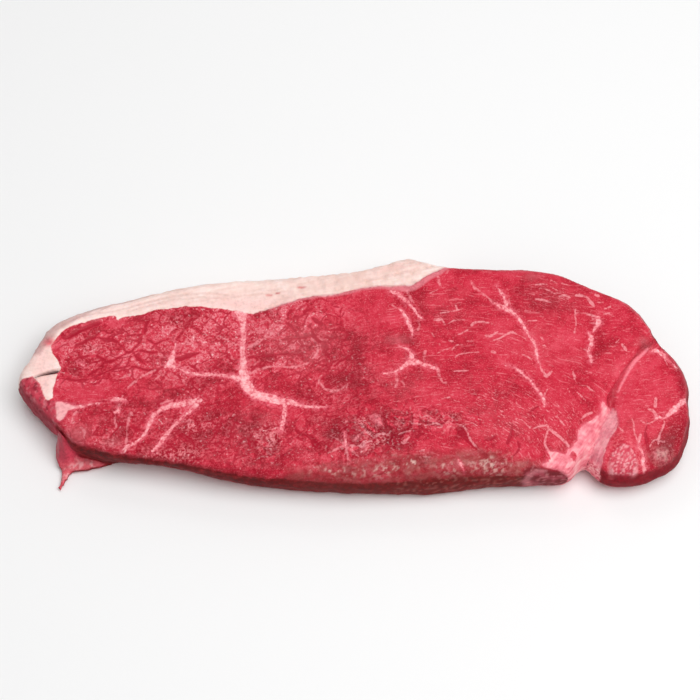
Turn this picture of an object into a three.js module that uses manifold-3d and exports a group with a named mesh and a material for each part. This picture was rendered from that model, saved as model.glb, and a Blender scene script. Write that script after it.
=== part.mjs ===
// A raw sirloin (strip loin) steak: one slice of loin with its fat cap along the back edge,
// the flank tail folded against its right end, and a loose flap of silverskin at its front left
// corner that ends in a short strand. Millimetres, +Z up. The steak lies flat on its cut face:
// the origin is the middle of its box at the bottom, +X runs towards the tail and +Y towards
// the fat cap.

import * as THREE from 'three';
import { mergeVertices } from 'three/addons/utils/BufferGeometryUtils.js';
import Module from 'manifold-3d';

// Driving dimensions.
const LOIN_THICKNESS = 20;
const TAIL_THICKNESS = 17.5;
const FLAP_THICKNESS = 4;
const STRAND_THICKNESS = 2.4;
const MOUND_HEIGHT = 0.8; // how far the muscles rise over the cut face
const MOUND_LENGTH = 64; // from one rise to the next

const LEAN = new THREE.MeshStandardMaterial({
  color: 0xbf3444,
  roughness: 0.45,
  metalness: 0,
});

// Each slab has four edges, drawn as smooth curves through a few points of its plan. The front
// and back edges run left to right, the left and right ones front to back, and they share corners.
const LOIN = {
  front: [[-110, -34], [-95, -38.5], [-73, -41.8], [-50, -46.2], [-26, -48.8], [3, -50.2],
    [31, -48.4], [47, -47.4], [64, -47.2], [83, -46.6]],
  back: [[-123, 15], [-117, 20.4], [-101, 27.2], [-74, 34.6], [-38, 39.8], [-8, 41.9],
    [7, 44.8], [23, 49.6], [37, 45.2], [75, 43.9], [98, 35.2], [111, 28.2], [118.5, 17.8],
    [121, 9.2]],
  left: [[-110, -34], [-116.5, -26.5], [-121, -21.6], [-127.4, -15], [-133, -7],
    [-130.6, -0.4], [-126.8, 7.4], [-123, 15]],
  right: [[83, -46.6], [86.2, -42.6], [91.5, -37], [98.5, -24.5], [102.4, -14], [106.6, -5.4],
    [114.2, 4.3], [121, 9.2]],
};
const TAIL = {
  front: [[91.5, -39.5], [94.5, -43.2], [98.5, -46.6], [108, -47.2], [117, -44.6]],
  back: [[112.8, 4], [116.6, 7], [120.6, 9.4], [124.4, 9], [128, 5.4]],
  left: [[91.5, -39.5], [91, -34], [97.5, -20.5], [101.6, -13.6], [105.2, -5.4], [112.8, 4]],
  right: [[117, -44.6], [125.6, -39.6], [130.4, -30], [132.9, -20.4], [131.6, -15.6],
    [133, -10.8], [131.6, -1.6], [128, 5.4]],
};
const FLAP = {
  front: [[-116.4, -37.6], [-110, -39.2], [-103, -38.2], [-95.6, -36], [-90, -33.5]],
  back: [[-112, -24], [-105, -26], [-98, -27.6], [-90, -29]],
  left: [[-116.4, -37.6], [-118.2, -32], [-117.2, -26.4], [-112, -24]],
  right: [[-90, -33.5], [-90, -29]],
};
const STRAND = {
  front: [[-116.8, -46.6], [-115, -46.9]],
  back: [[-115.2, -37], [-110.6, -37]],
  left: [[-116.8, -46.6], [-115.9, -43.4], [-115.2, -37]],
  right: [[-115, -46.9], [-112.9, -43.2], [-110.6, -37]],
};

const OUTLINE_STEPS = 48; // points taken along each edge to measure distances from it

function edgeCurve(points) {
  return new THREE.SplineCurve(points.map(([x, y]) => new THREE.Vector2(x, y)));
}

// The point of the plan at (u, v), each from 0 to 1: a surface stretched between four edges.
function planPoint(edges, u, v) {
  const blend = (a, b, t) => new THREE.Vector2().lerpVectors(a, b, t);
  const acrossWidth = blend(edges.front.getPointAt(u), edges.back.getPointAt(u), v);
  const alongLength = blend(edges.left.getPointAt(v), edges.right.getPointAt(v), u);
  const corners = blend(
    blend(edges.front.getPointAt(0), edges.front.getPointAt(1), u),
    blend(edges.back.getPointAt(0), edges.back.getPointAt(1), u),
    v,
  );
  return acrossWidth.add(alongLength).sub(corners);
}

function distanceToSegment(p, a, b) {
  const along = new THREE.Vector2().subVectors(b, a);
  const offset = new THREE.Vector2().subVectors(p, a);
  const share = THREE.MathUtils.clamp(offset.dot(along) / along.lengthSq(), 0, 1);
  return offset.addScaledVector(along, -share).length();
}

function distanceToOutline(p, outlines) {
  let nearest = Infinity;
  for (const outline of outlines) {
    for (let i = 1; i < outline.length; i += 1) {
      nearest = Math.min(nearest, distanceToSegment(p, outline[i - 1], outline[i]));
    }
  }
  return nearest;
}

// How far a round edge of this radius has dropped at a distance from the outline.
function roundDrop(distance, radius) {
  const inward = Math.max(0, radius - distance);
  return radius - Math.sqrt(radius * radius - inward * inward);
}

// Moves grid lines towards both ends, where the round edges need them.
function crowdEnds(t) {
  const CROWDING = 0.55;
  return t - (CROWDING * Math.sin(2 * Math.PI * t)) / (2 * Math.PI);
}

// A box bent to the plan of four edges, with a round top edge and foot. Its walls belly out by
// `belly`, its front wall leans in by `lean` towards the foot, and `relief` raises its top face.
function bentSlab(plan, { thickness, topRadius, footRadius, belly, lean, cells, relief }) {
  const edges = {};
  for (const [name, points] of Object.entries(plan)) {
    edges[name] = edgeCurve(points);
  }
  const outlines = Object.values(edges).map((edge) => edge.getSpacedPoints(OUTLINE_STEPS));
  const geometry = new THREE.BoxGeometry(1, 1, 1, ...cells);
  const position = geometry.attributes.position;
  for (let i = 0; i < position.count; i += 1) {
    const u = crowdEnds(position.getX(i) + 0.5);
    const v = crowdEnds(position.getY(i) + 0.5);
    const w = position.getZ(i) + 0.5;
    const p = planPoint(edges, u, v);
    const distance = distanceToOutline(p, outlines);
    const top = thickness + relief(p) - roundDrop(distance, topRadius);
    const foot = roundDrop(distance, footRadius);
    const FADE = 6; // walls move and the middle of the slab stays
    const outward = belly * 4 * w * (1 - w);
    const inward = lean(p) * (1 - w) * (1 - v) ** FADE;
    p.x += outward * (u ** FADE - (1 - u) ** FADE);
    p.y += outward * (v ** FADE - (1 - v) ** FADE) + inward;
    position.setXYZ(i, p.x, p.y, THREE.MathUtils.lerp(foot, top, w));
  }
  return geometry;
}

// The muscles of the cut face: low mounds, in slanting rows along and across the loin.
function mounds(p) {
  const ALONG_SLANT = 0.4;
  const ACROSS_SLANT = 0.3;
  const ROWS_CLOSER = 1.2; // rows lie closer together across the loin than along it
  const turn = (2 * Math.PI) / MOUND_LENGTH;
  const along = Math.sin(turn * (p.x + ALONG_SLANT * p.y));
  const across = Math.cos(ROWS_CLOSER * turn * (p.y - ACROSS_SLANT * p.x));
  return MOUND_HEIGHT * along * across;
}

// The front wall hangs inward on the left and sags outward right of the middle.
function loinLean(p) {
  const EVEN_LEAN = 1.2;
  const UNDERCUT = { depth: 3.4, x: -75, spread: 28 };
  const SAG = { depth: 2.4, x: 31, spread: 17 };
  const bump = ({ depth, x, spread }) => depth * Math.exp(-(((p.x - x) / spread) ** 2));
  return EVEN_LEAN + bump(UNDERCUT) - bump(SAG);
}

function none() {
  return 0;
}

// The tail swells in the middle, as a folded flap does.
function tailSwell(p) {
  const TAIL_MIDDLE = new THREE.Vector2(112, -20);
  const SWELL = 1.6;
  const SWELL_RADIUS = 26;
  const share = p.distanceTo(TAIL_MIDDLE) / SWELL_RADIUS;
  return SWELL * Math.exp(-share * share);
}

function loinGeometry() {
  return bentSlab(LOIN, {
    thickness: LOIN_THICKNESS,
    topRadius: 4.5,
    footRadius: 3.5,
    belly: 0.8,
    lean: loinLean,
    cells: [68, 20, 4],
    relief: mounds,
  });
}

function tailGeometry() {
  return bentSlab(TAIL, {
    thickness: TAIL_THICKNESS,
    topRadius: 6,
    footRadius: 6,
    belly: 0.6,
    lean: none,
    cells: [14, 20, 4],
    relief: tailSwell,
  });
}

function flapGeometry() {
  return bentSlab(FLAP, {
    thickness: FLAP_THICKNESS,
    topRadius: 1.6,
    footRadius: 1.2,
    belly: 0.2,
    lean: none,
    cells: [12, 6, 2],
    relief: none,
  });
}

function strandGeometry() {
  return bentSlab(STRAND, {
    thickness: STRAND_THICKNESS,
    topRadius: 0.9,
    footRadius: 0.7,
    belly: 0.1,
    lean: none,
    cells: [4, 8, 2],
    relief: none,
  });
}

// A closed geometry as a solid, and back.
function toSolid(wasm, geometry) {
  const bare = new THREE.BufferGeometry();
  bare.setAttribute('position', geometry.attributes.position);
  bare.setIndex(geometry.index);
  const merged = mergeVertices(bare);
  return new wasm.Manifold(
    new wasm.Mesh({
      numProp: 3,
      vertProperties: merged.attributes.position.array,
      triVerts: new Uint32Array(merged.index.array),
    }),
  );
}

function toGeometry(solid) {
  const mesh = solid.getMesh();
  const geometry = new THREE.BufferGeometry();
  geometry.setAttribute('position', new THREE.BufferAttribute(mesh.vertProperties, 3));
  geometry.setIndex(new THREE.BufferAttribute(mesh.triVerts, 1));
  geometry.computeVertexNormals();
  return geometry;
}

const wasm = await Module();
wasm.setup();

// Loin, tail, flap and strand are one piece of meat, so they are joined into one solid.
const pieces = [loinGeometry(), tailGeometry(), flapGeometry(), strandGeometry()];
const joined = pieces.map((piece) => toSolid(wasm, piece)).reduce((a, b) => a.add(b));

// Centred over the origin, with its cut face at height 0.
const meat = toGeometry(joined);
meat.computeBoundingBox();
const middle = meat.boundingBox.getCenter(new THREE.Vector3());
meat.translate(-middle.x, -middle.y, -meat.boundingBox.min.z);

const steak = new THREE.Mesh(meat, LEAN);
steak.name = 'steak';

const part = new THREE.Group();
part.add(steak);

export default part;
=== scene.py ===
import math

import bpy
import numpy as np
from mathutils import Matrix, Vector, noise


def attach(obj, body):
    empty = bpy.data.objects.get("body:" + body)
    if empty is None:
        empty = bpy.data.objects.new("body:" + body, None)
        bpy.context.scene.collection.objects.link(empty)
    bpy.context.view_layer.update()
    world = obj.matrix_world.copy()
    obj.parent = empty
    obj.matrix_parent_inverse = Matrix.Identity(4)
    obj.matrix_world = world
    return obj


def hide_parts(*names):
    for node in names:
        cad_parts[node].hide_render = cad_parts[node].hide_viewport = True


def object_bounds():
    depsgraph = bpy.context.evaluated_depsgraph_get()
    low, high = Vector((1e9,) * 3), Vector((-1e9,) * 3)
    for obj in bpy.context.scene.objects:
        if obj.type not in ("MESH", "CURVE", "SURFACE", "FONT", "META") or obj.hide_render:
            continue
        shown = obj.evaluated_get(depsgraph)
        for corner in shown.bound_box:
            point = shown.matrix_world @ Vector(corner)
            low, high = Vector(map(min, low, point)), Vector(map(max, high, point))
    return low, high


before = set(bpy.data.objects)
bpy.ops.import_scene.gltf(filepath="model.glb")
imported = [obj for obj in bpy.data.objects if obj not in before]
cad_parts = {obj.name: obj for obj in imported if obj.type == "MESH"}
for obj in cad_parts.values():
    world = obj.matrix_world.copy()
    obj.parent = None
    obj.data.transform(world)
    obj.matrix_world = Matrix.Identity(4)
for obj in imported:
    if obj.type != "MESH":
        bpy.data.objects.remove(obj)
cad_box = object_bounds()


# The slice of meat. A strip loin is cut across its muscles in one stroke, so the slice is one
# piece: lean, fat cap and folded tail. Its skin is made even first, then finer on top, where
# the cut face shows, and smoothed.
MM = 0.001
SAME_POINT = 0.001 * MM
SKIN_CELL = 1.2 * MM
FACES_UP = 0.25
SMOOTHINGS = 5

bpy.ops.object.select_all(action="DESELECT")
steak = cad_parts["steak"].copy()
steak.data = steak.data.copy()
steak.name = "steak_slice"
bpy.context.scene.collection.objects.link(steak)
steak.data.materials.clear()
steak.select_set(True)
bpy.context.view_layer.objects.active = steak

bpy.ops.object.mode_set(mode="EDIT")
bpy.ops.mesh.select_all(action="SELECT")
bpy.ops.mesh.remove_doubles(threshold=SAME_POINT)
bpy.ops.object.mode_set(mode="OBJECT")

remesh = steak.modifiers.new("even_skin", "REMESH")
remesh.mode = "VOXEL"
remesh.voxel_size = SKIN_CELL
bpy.ops.object.modifier_apply(modifier=remesh.name)

bpy.ops.object.mode_set(mode="EDIT")
bpy.ops.mesh.select_all(action="DESELECT")
bpy.ops.mesh.select_mode(type="FACE")
bpy.ops.object.mode_set(mode="OBJECT")
for face in steak.data.polygons:
    face.select = face.normal.z > FACES_UP
bpy.ops.object.mode_set(mode="EDIT")
bpy.ops.mesh.subdivide(number_cuts=1)
bpy.ops.mesh.select_all(action="SELECT")
bpy.ops.mesh.vertices_smooth(factor=0.5, repeat=SMOOTHINGS)
bpy.ops.object.mode_set(mode="OBJECT")

count = len(steak.data.vertices)
points = np.empty(count * 3, np.float32)
steak.data.vertices.foreach_get("co", points)
points = points.reshape(-1, 3).astype(float) / MM
normals = np.empty(count * 3, np.float32)
steak.data.vertex_normals.foreach_get("vector", normals)
normals = normals.reshape(-1, 3).astype(float)
across = points[:, :2]
height = points[:, 2]
flat = np.c_[across, np.zeros(count)]


# The fat in the lean: seams between the muscles, and finer veins that branch from them. Each
# line lists its bends as x, y and its width there, in millimetres, seen from above.
SEAMS = [
    [(-45, 26, 8), (-44.6, 21.5, 4.2), (-44.2, 17, 2.5), (-44, 10.5, 2.1), (-44, 5, 2.3), (-43.6, -3, 3.4),
     (-43, -8, 4.6), (-40.5, -12.2, 4), (-37, -15, 3.8), (-32, -15.7, 3.8), (-27.5, -17, 3),
     (-24, -17.2, 2.4), (-18.5, -19, 1.2), (-10.5, -19.2, 0.7)],
    [(-27, -17.5, 2.4), (-27.4, -23, 1.6), (-28.4, -28.8, 1.7)],
    [(-45, -7, 3.6), (-49, -5.8, 1.7), (-56, -4.9, 1.3), (-60.5, -5, 1.2), (-65, -4, 1.2), (-70, -2.5, 0.9)],
    [(-60.5, -16, 2.6), (-67, -17.5, 2.4), (-71, -18, 2.4), (-74.5, -19.5, 2), (-76.5, -21, 1.8),
     (-78.5, -23, 1.6), (-79.5, -25.5, 1.8), (-80.5, -28.5, 1.2), (-82, -32, 1.2), (-86, -35.5, 1.4),
     (-88.5, -37, 1.8), (-90.5, -39.5, 1)],
    [(-61.5, -18, 1.8), (-64.5, -21, 1.2), (-67.5, -24, 1.1), (-70, -27, 1.1), (-72, -30, 1.8),
     (-73.5, -32.5, 1.9), (-75.5, -35.5, 1.4), (-78, -38, 0.8)],
    [(-109, -19, 2), (-106, -19, 1.2), (-103, -18, 0.8), (-99.5, -17.5, 0.6)],
    [(15, 32.5, 1.6), (18, 31, 2), (20.5, 28.5, 1.6), (23, 25.5, 1.2), (25.5, 22, 1.3), (27.5, 20, 0.8)],
    [(19, 24, 0.7), (21, 20.5, 1.3), (22.5, 16.5, 1.6), (23.5, 12, 0.9)],
    [(22.8, 1.2, 3.2), (22.6, 4, 1.4), (21, 6, 1.1), (18, 7.2, 0.7)],
    [(22.8, 0.8, 2.8), (20, -1.4, 1.4), (16.5, -4, 1), (11.5, -5, 0.5)],
    [(23, 0.6, 2.8), (28, -0.8, 1.9), (31.5, -2, 1.5), (33.2, -2.6, 0.7)],
    [(56.5, 27, 0.9), (59, 25, 2), (62.5, 23, 1.8), (65, 21, 1.5), (66.5, 18.5, 1.5), (68, 15.5, 1.4),
     (70, 12, 1.1), (71.5, 9, 1.4), (72.5, 5, 0.9), (73, 0.5, 0.7)],
    [(57.5, 35, 0.7), (59, 32.5, 0.9), (60.5, 29.5, 1.1), (61, 26.5, 1.7)],
    [(60, -1, 0.7), (65, -3, 0.8), (67, -5, 1), (69.5, -8, 1.3), (71.5, -11, 1), (73.5, -14, 1.2),
     (74.5, -15.5, 1.5), (74.5, -19, 0.5)],
    [(98, 20.5, 1.8), (97.5, 17.5, 2), (96.5, 16, 1.4), (95.5, 14, 0.9)],
    [(93.5, 14, 1), (94.5, 11, 1.9), (94, 7.5, 1.6), (93, 5, 0.8), (94, 2.5, 1.5), (94, 0.5, 1)],
    [(118.5, 6.5, 0.6), (120.5, 6.5, 1.8), (123, 5, 2.1), (124, 3, 1), (126, 1.5, 0.9), (128, -0.5, 0.9)],
    [(132, -13.5, 1.6), (129, -16, 1.8), (127.5, -17.5, 2), (125.5, -19.5, 2.4), (123, -22, 1.8),
     (121, -23.5, 1.2), (119, -23, 1.3), (118, -23.5, 0.8)],
    [(111, -32.5, 0.9), (110.5, -35, 1), (111.5, -38, 1), (112, -42, 1.2), (112.5, -44.5, 1.7),
     (112.5, -48, 1.2)],
    [(-3, -35.5, 1.1), (-3.5, -32, 0.5), (-4, -29.5, 0.3)],
    [(70.6, -45.8, 1), (66.4, -48, 1.3), (64.6, -50.4, 1.3), (68, -52.4, 1.2)],
    [(40.5, -42, 0.8), (41.5, -44, 1.2), (42.5, -46.5, 0.7)],
    [(-95, -16.5, 0.8), (-93.5, -16, 1.6), (-90, -16.5, 1.6)],
    [(-124.5, -20.2, 2.2), (-123.5, -21, 2)],
]
VEINS = [
    [(-41, -4.6, 1.1), (-34.5, -2.2, 0.9), (-29, -1.6, 0.9), (-22.5, -1.5, 1), (-18.5, 0, 0.9),
     (-15.5, 3, 0.7), (-14.4, 6, 0.8), (-15, 9, 0.8), (-17, 11, 0.7)],
    [(-41.5, 7, 1.3), (-35.5, 11, 1.3), (-30.5, 14.5, 1), (-28, 16.5, 0.7)],
    [(-30.5, 14.5, 0.8), (-29, 9.5, 0.6)],
    [(-54, 12.5, 0.8), (-49.5, 10, 1), (-45.5, 8, 1)],
    [(-13, -5, 0.8), (-13.8, -8, 1), (-11.5, -10.8, 1.1), (-8, -12, 1.3), (-5, -11.4, 1), (-2.5, -9.4, 0.8)],
    [(28, -0.6, 1), (28, 1.8, 0.8), (28.6, 5.4, 0.8)],
    [(16.5, -3.8, 1.4), (17, -7.4, 1.1), (16.4, -10.4, 0.6)],
    [(19, -8, 0.8), (20.2, -11, 0.6)],
    [(33, -2.2, 0.7), (34, -6.6, 0.8), (35, -8.5, 1), (36.5, -8.5, 0.6)],
    [(-3, -35.5, 1.1), (-2.6, -40, 0.7), (-2.5, -44, 0.5)],
    [(-3, -35.5, 1), (-7.5, -32.4, 0.6), (-9.5, -31.5, 0.5)],
    [(-3, -35.5, 1), (1.5, -36.2, 0.7), (5, -36, 0.5)],
    [(-3, -35.5, 1), (-6.5, -37.5, 0.7), (-8.5, -38.5, 0.6)],
    [(-3, -35.5, 1), (0, -38.5, 0.6), (2, -40.5, 0.5)],
    [(-92, -7, 0.6), (-90, -6, 1), (-88.5, -5.5, 0.7)],
    [(-88.5, -10.5, 0.6), (-86.5, -9, 1.3), (-85, -7, 1), (-82, -5.5, 1), (-78.5, -3.5, 0.9)],
    [(-78.5, -7.5, 0.5), (-76.5, -5.5, 0.5)],
    [(-83.5, 12, 0.9), (-83, 10.5, 1.2), (-83, 7, 0.6), (-82, 5.5, 0.6), (-79.5, 5.5, 0.5)],
    [(-88, 1.5, 0.6), (-85, -1.5, 1.2)],
    [(-77.5, 3.5, 0.5), (-74.5, 2, 0.6)],
    [(-67, -7.5, 1), (-66, -9.5, 1.2)],
    [(-108, -21, 0.8), (-109, -22.5, 0.9), (-109.5, -26.5, 0.8)],
    [(-93, -23.5, 0.6), (-93, -25.5, 0.8), (-92.5, -28, 1)],
    [(-90.5, -14.5, 0.5), (-91.5, -17.5, 0.7), (-92, -19, 0.9)],
    [(-86.5, -22, 0.9), (-87.5, -23, 1.3), (-88, -27.5, 0.7), (-88, -31, 0.7), (-88, -34.5, 0.9)],
    [(-75.5, -17.5, 0.6), (-73, -16.5, 1), (-70.5, -16, 0.8)],
    [(-106.5, -28, 0.8), (-104.5, -30, 1), (-104.5, -32, 0.6)],
    [(-120, -23.5, 0.8), (-118.5, -23, 1), (-116.5, -22, 1.2)],
    [(15.5, 26, 0.5), (19, 24, 0.7)],
    [(21.5, 32.5, 0.8), (23, 28.5, 0.6), (25.5, 25, 0.5)],
    [(25.5, 19.5, 0.4), (26.5, 17, 0.5), (25.5, 14.5, 0.4)],
    [(34, 38.5, 0.9), (35, 35, 1)],
    [(38.5, 42, 0.5), (37.5, 40, 0.6)],
    [(47.5, 37, 0.6), (49, 34, 1.4), (51.5, 32, 0.7), (53, 30, 0.6), (55, 28, 0.8), (57, 26.5, 1.3)],
    [(62.5, 23, 0.8), (62.5, 29.5, 0.5)],
    [(-3, -26, 0.6), (1, -24.5, 0.6)],
    [(19, -34.6, 1.5), (21.6, -32.4, 0.7)],
]
SLIVERS = [
    [(73.5, 35.5, 0.5), (76, 35.5, 0.8), (78, 35.5, 0.5)],
    [(79.5, 37.5, 0.5), (82, 36, 0.5)],
    [(75, 33.5, 0.5), (77.5, 33, 0.8), (81, 31, 0.7)],
    [(78, 35, 0.4), (82.5, 32.5, 0.5)],
    [(83, 30, 0.9), (85, 30.5, 1.4), (87, 29.5, 0.8)],
    [(84, 36, 0.5), (87, 35, 0.5)],
    [(73, 28.5, 0.7), (76, 28, 1.1), (79, 27, 0.7)],
    [(89.5, 30.5, 1), (91, 30.5, 1.5), (93.5, 30, 0.8), (95, 28, 1.6), (96.5, 26, 1.2)],
    [(97.5, 31, 1.2), (98.5, 30.5, 1.2)],
    [(100.5, 24.5, 0.7), (103, 25.5, 1)],
    [(98, 27.5, 0.6), (100.5, 27.5, 0.6)],
    [(100, 22, 0.6), (102.5, 22.5, 0.8)],
    [(93.5, 22, 0.8), (95.5, 21.5, 1), (98, 20.5, 1.4)],
    [(95, 20, 0.4), (97, 19.5, 0.6)],
    [(94.5, 18, 0.4), (97, 18, 0.6)],
    [(89, 7, 0.4), (91.5, 6, 0.5), (93.5, 5, 0.7)],
    [(89, 24.5, 0.5), (88.5, 21.5, 0.6), (89, 18.5, 0.5), (88, 13.5, 0.6)],
    [(89, 22.5, 0.5), (93.5, 22.5, 0.6)],
    [(68.5, 23, 0.5), (71, 23, 0.5)],
    [(69.5, 18.5, 0.5), (73, 18.5, 0.5)],
    [(74.5, 11.5, 0.9), (75.5, 10, 0.7)],
    [(73.5, 8.5, 0.4), (76, 7.5, 0.6)],
    [(34.5, 22.5, 0.5), (37.5, 23, 0.7), (40.5, 23.5, 0.5), (44, 24.5, 0.5)],
    [(31.5, 19.5, 0.5), (34, 19.5, 1.3), (35, 20, 1), (36.5, 17.5, 0.5)],
    [(38, 18, 0.5), (40.5, 19.5, 0.6), (45, 19.5, 0.5)],
    [(47, 17, 0.9), (48, 18, 1.1), (50, 18.5, 0.9), (53.5, 18, 0.7), (56.5, 17, 0.5)],
    [(41.5, 13, 0.5), (45.5, 15, 0.6)],
    [(52.5, 12.5, 0.7), (54.5, 12, 1), (57.5, 14, 0.5)],
    [(55.5, 10, 0.8), (58.5, 11, 0.6), (62.5, 13.5, 1), (65, 12.5, 0.6), (68.5, 10.5, 0.5)],
    [(38, 10.5, 0.8), (39.5, 10, 0.9)],
    [(39, 6, 0.5), (40, 7.5, 0.6), (41.5, 8.5, 0.6), (43.5, 8.5, 0.4)],
    [(33, 4.5, 0.5), (36, 6, 0.5), (38.5, 7, 0.4)],
    [(40, 2.5, 0.5), (41.5, 4, 0.8), (44.5, 4.5, 0.6), (50, 5, 0.5)],
    [(55, 5, 1.3), (56, 4.5, 1.2)],
    [(57.5, 3.5, 0.5), (61, 3.5, 0.5)],
    [(66.5, 4, 0.6), (68.5, 3, 1), (70.5, 1.5, 0.6)],
    [(31, 13.5, 0.7), (32, 12, 0.8)],
    [(34, 9, 0.8), (34.5, 8, 0.6)],
    [(45, 10, 0.5), (49, 10, 0.5)],
    [(30.5, 31, 0.5), (33.5, 32.5, 0.5)],
    [(51, 44, 0.5), (55.5, 43.5, 0.7)],
    [(41, 26, 0.9), (41.5, 24, 0.7)],
    [(76, -11.5, 0.7), (74.5, -14.5, 0.9)],
    [(39.5, -3.5, 0.5), (42, -3.5, 0.7), (45, -3.5, 0.5)],
    [(34.5, -15.5, 0.5), (37.5, -15, 0.7)],
    [(39, -19.5, 0.5), (41, -19.5, 0.5)],
    [(73.5, 1, 0.5), (74, -2, 0.7), (75, -4, 1), (76, -5.5, 1.6), (78, -3.5, 0.8)],
    [(86.5, -3.5, 0.6), (87, -6, 1.2), (87, -7, 0.7)],
    [(91.5, -3.5, 0.5), (94, -4.5, 0.6)],
    [(88, -10, 0.5), (91.5, -10.5, 0.7), (93, -12, 0.8), (94.5, -13, 0.5)],
    [(83.5, -10.5, 0.5), (85, -13.5, 0.6)],
    [(87.5, -13, 0.5), (90.5, -16.5, 0.6)],
    [(79, -23, 0.5), (80.5, -25.5, 0.8), (82, -27.5, 0.5)],
    [(75, -27, 0.8), (76.5, -29, 1), (78, -30.5, 1.2), (81, -33.5, 1), (83, -36, 1.2)],
    [(70, -28.5, 0.6), (72.5, -27.5, 0.8), (75, -27, 0.9)],
    [(75.5, -29, 0.6), (74.5, -32.5, 0.8), (74, -35.5, 0.8), (76, -39, 1)],
    [(65.5, -25, 0.5), (68.5, -28, 0.9)],
    [(89, -24.5, 0.8), (90.5, -23, 1.1), (93, -22, 0.7)],
    [(40, -26.5, 0.6), (43, -28, 0.7), (45.5, -33.5, 0.8), (48.5, -37.5, 0.6)],
    [(106.5, 8, 0.8), (107.5, 6, 1.2), (108, 5, 0.6)],
    [(104, 8.5, 0.5), (105.5, 10, 0.5)],
    [(123.5, 2.5, 0.5), (124.5, -0.5, 0.5)],
    [(115, -19.5, 0.7), (117, -20.5, 1.3), (118, -22, 1.2), (118, -24, 1.2)],
    [(117.5, -24.5, 0.8), (115.5, -25.5, 0.6), (113.5, -25.5, 0.5), (112, -24.5, 0.4)],
    [(118.5, -15, 1.2), (118, -18.5, 1.2)],
    [(121, -24.5, 0.8), (121, -26, 0.8), (120, -28.5, 0.7), (119, -30.5, 0.9), (118.5, -32.5, 0.9),
     (118, -34.5, 0.6)],
    [(118.5, -32.5, 0.8), (116.5, -33, 0.6), (115, -35, 0.8), (115, -37, 0.6)],
    [(118.5, -33, 0.7), (120.5, -33.5, 0.9)],
    [(108.5, -24, 0.5), (109, -26, 0.6), (109, -28.5, 0.7), (110, -32, 0.8), (110.5, -35, 0.8)],
    [(111.5, -30.5, 1), (111, -32.5, 1.2)],
    [(103, -27, 0.6), (104.5, -29, 0.9)],
    [(27.5, -27, 0.6), (29.5, -26.5, 0.7), (32, -26, 0.8), (34, -27, 0.8), (34, -28, 0.7), (32.5, -28, 0.6)],
    [(26, -23.5, 0.6), (27.5, -23, 0.6), (29.5, -23, 0.7), (30, -24, 0.6), (28.5, -25, 0.6)],
    [(22.5, -25.5, 0.8), (24, -26, 1), (26, -26.5, 0.7)],
    [(17.5, -30.5, 0.9), (19.5, -30, 1), (20.5, -30, 0.9), (22, -29.5, 0.7)],
    [(25.5, -38.5, 0.8), (27, -38, 1)],
    [(27, -41, 0.9), (29, -41, 1.1)],
    [(7.5, -32.5, 0.8), (10, -31, 1.1), (13.5, -31, 0.6)],
    [(3, -30.5, 0.9), (4.5, -30, 1.1), (6.5, -31.5, 0.7)],
    [(2.5, -36, 1), (4.5, -34.5, 1.4), (7, -34, 0.8)],
]
CURVE_STEPS = 4
REACH = 9
FAR_OFF = 1e3


def curve_through(bends):
    """A smooth line through the bends, with CURVE_STEPS points to each stretch."""
    bends = np.array(bends, float)
    ends = np.vstack([2 * bends[0] - bends[1], bends, 2 * bends[-1] - bends[-2]])
    line = []
    for before, start, end, after in zip(ends, ends[1:], ends[2:], ends[3:]):
        for t in np.arange(CURVE_STEPS) / CURVE_STEPS:
            line.append(0.5 * (2 * start + (end - before) * t
                               + (2 * before - 5 * start + 4 * end - after) * t ** 2
                               + (3 * start - before - 3 * end + after) * t ** 3))
    return np.array(line + [bends[-1]])


def depth_in_line(spots, bends):
    """How far each spot lies inside a line of changing width: above 0 in it, below 0 outside."""
    line = curve_through(bends)
    low, high = line[:, :2].min(axis=0) - REACH, line[:, :2].max(axis=0) + REACH
    near = np.all((spots > low) & (spots < high), axis=1)
    close = spots[near]
    deepest = np.full(len(close), -float(REACH))
    for start, end in zip(line, line[1:]):
        run = end[:2] - start[:2]
        share = np.clip((close - start[:2]) @ run / (run @ run), 0, 1)
        gap = np.linalg.norm(close - start[:2] - share[:, None] * run, axis=1)
        deepest = np.maximum(deepest, (start[2] + share * (end[2] - start[2])) / 2 - gap)
    depth = np.full(len(spots), -float(REACH))
    depth[near] = deepest
    return depth


def depth_in_lines(spots, lines):
    return np.max([depth_in_line(spots, bends) for bends in lines], axis=0)


def depth_in_area(spots, corners):
    """How far each spot lies inside an outline: above 0 in it, below 0 outside."""
    corners = np.array(corners, float)
    nearest = np.full(len(spots), FAR_OFF)
    inside = np.zeros(len(spots), bool)
    for start, end in zip(corners, np.roll(corners, -1, axis=0)):
        run = end - start
        share = np.clip((spots - start) @ run / (run @ run), 0, 1)
        nearest = np.minimum(nearest, np.linalg.norm(spots - start - share[:, None] * run, axis=1))
        crosses = (start[1] > spots[:, 1]) != (end[1] > spots[:, 1])
        with np.errstate(divide="ignore", invalid="ignore"):
            reach = start[0] + (spots[:, 1] - start[1]) * run[0] / run[1]
        inside ^= crosses & (spots[:, 0] < reach)
    return np.where(inside, nearest, -nearest)


def rough(spots, size, octaves=3, shift=0):
    """Soft random swells of about this size, from -1 to 1. Another shift gives other swells."""
    return np.array([noise.fractal(Vector(spot), 1.0, 2.0, octaves) for spot in (spots + shift) / size])


def ease(low, high, values):
    """0 below low, 1 above high, and a smooth rise between."""
    share = np.clip((values - low) / (high - low), 0, 1)
    return share * share * (3 - 2 * share)


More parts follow.
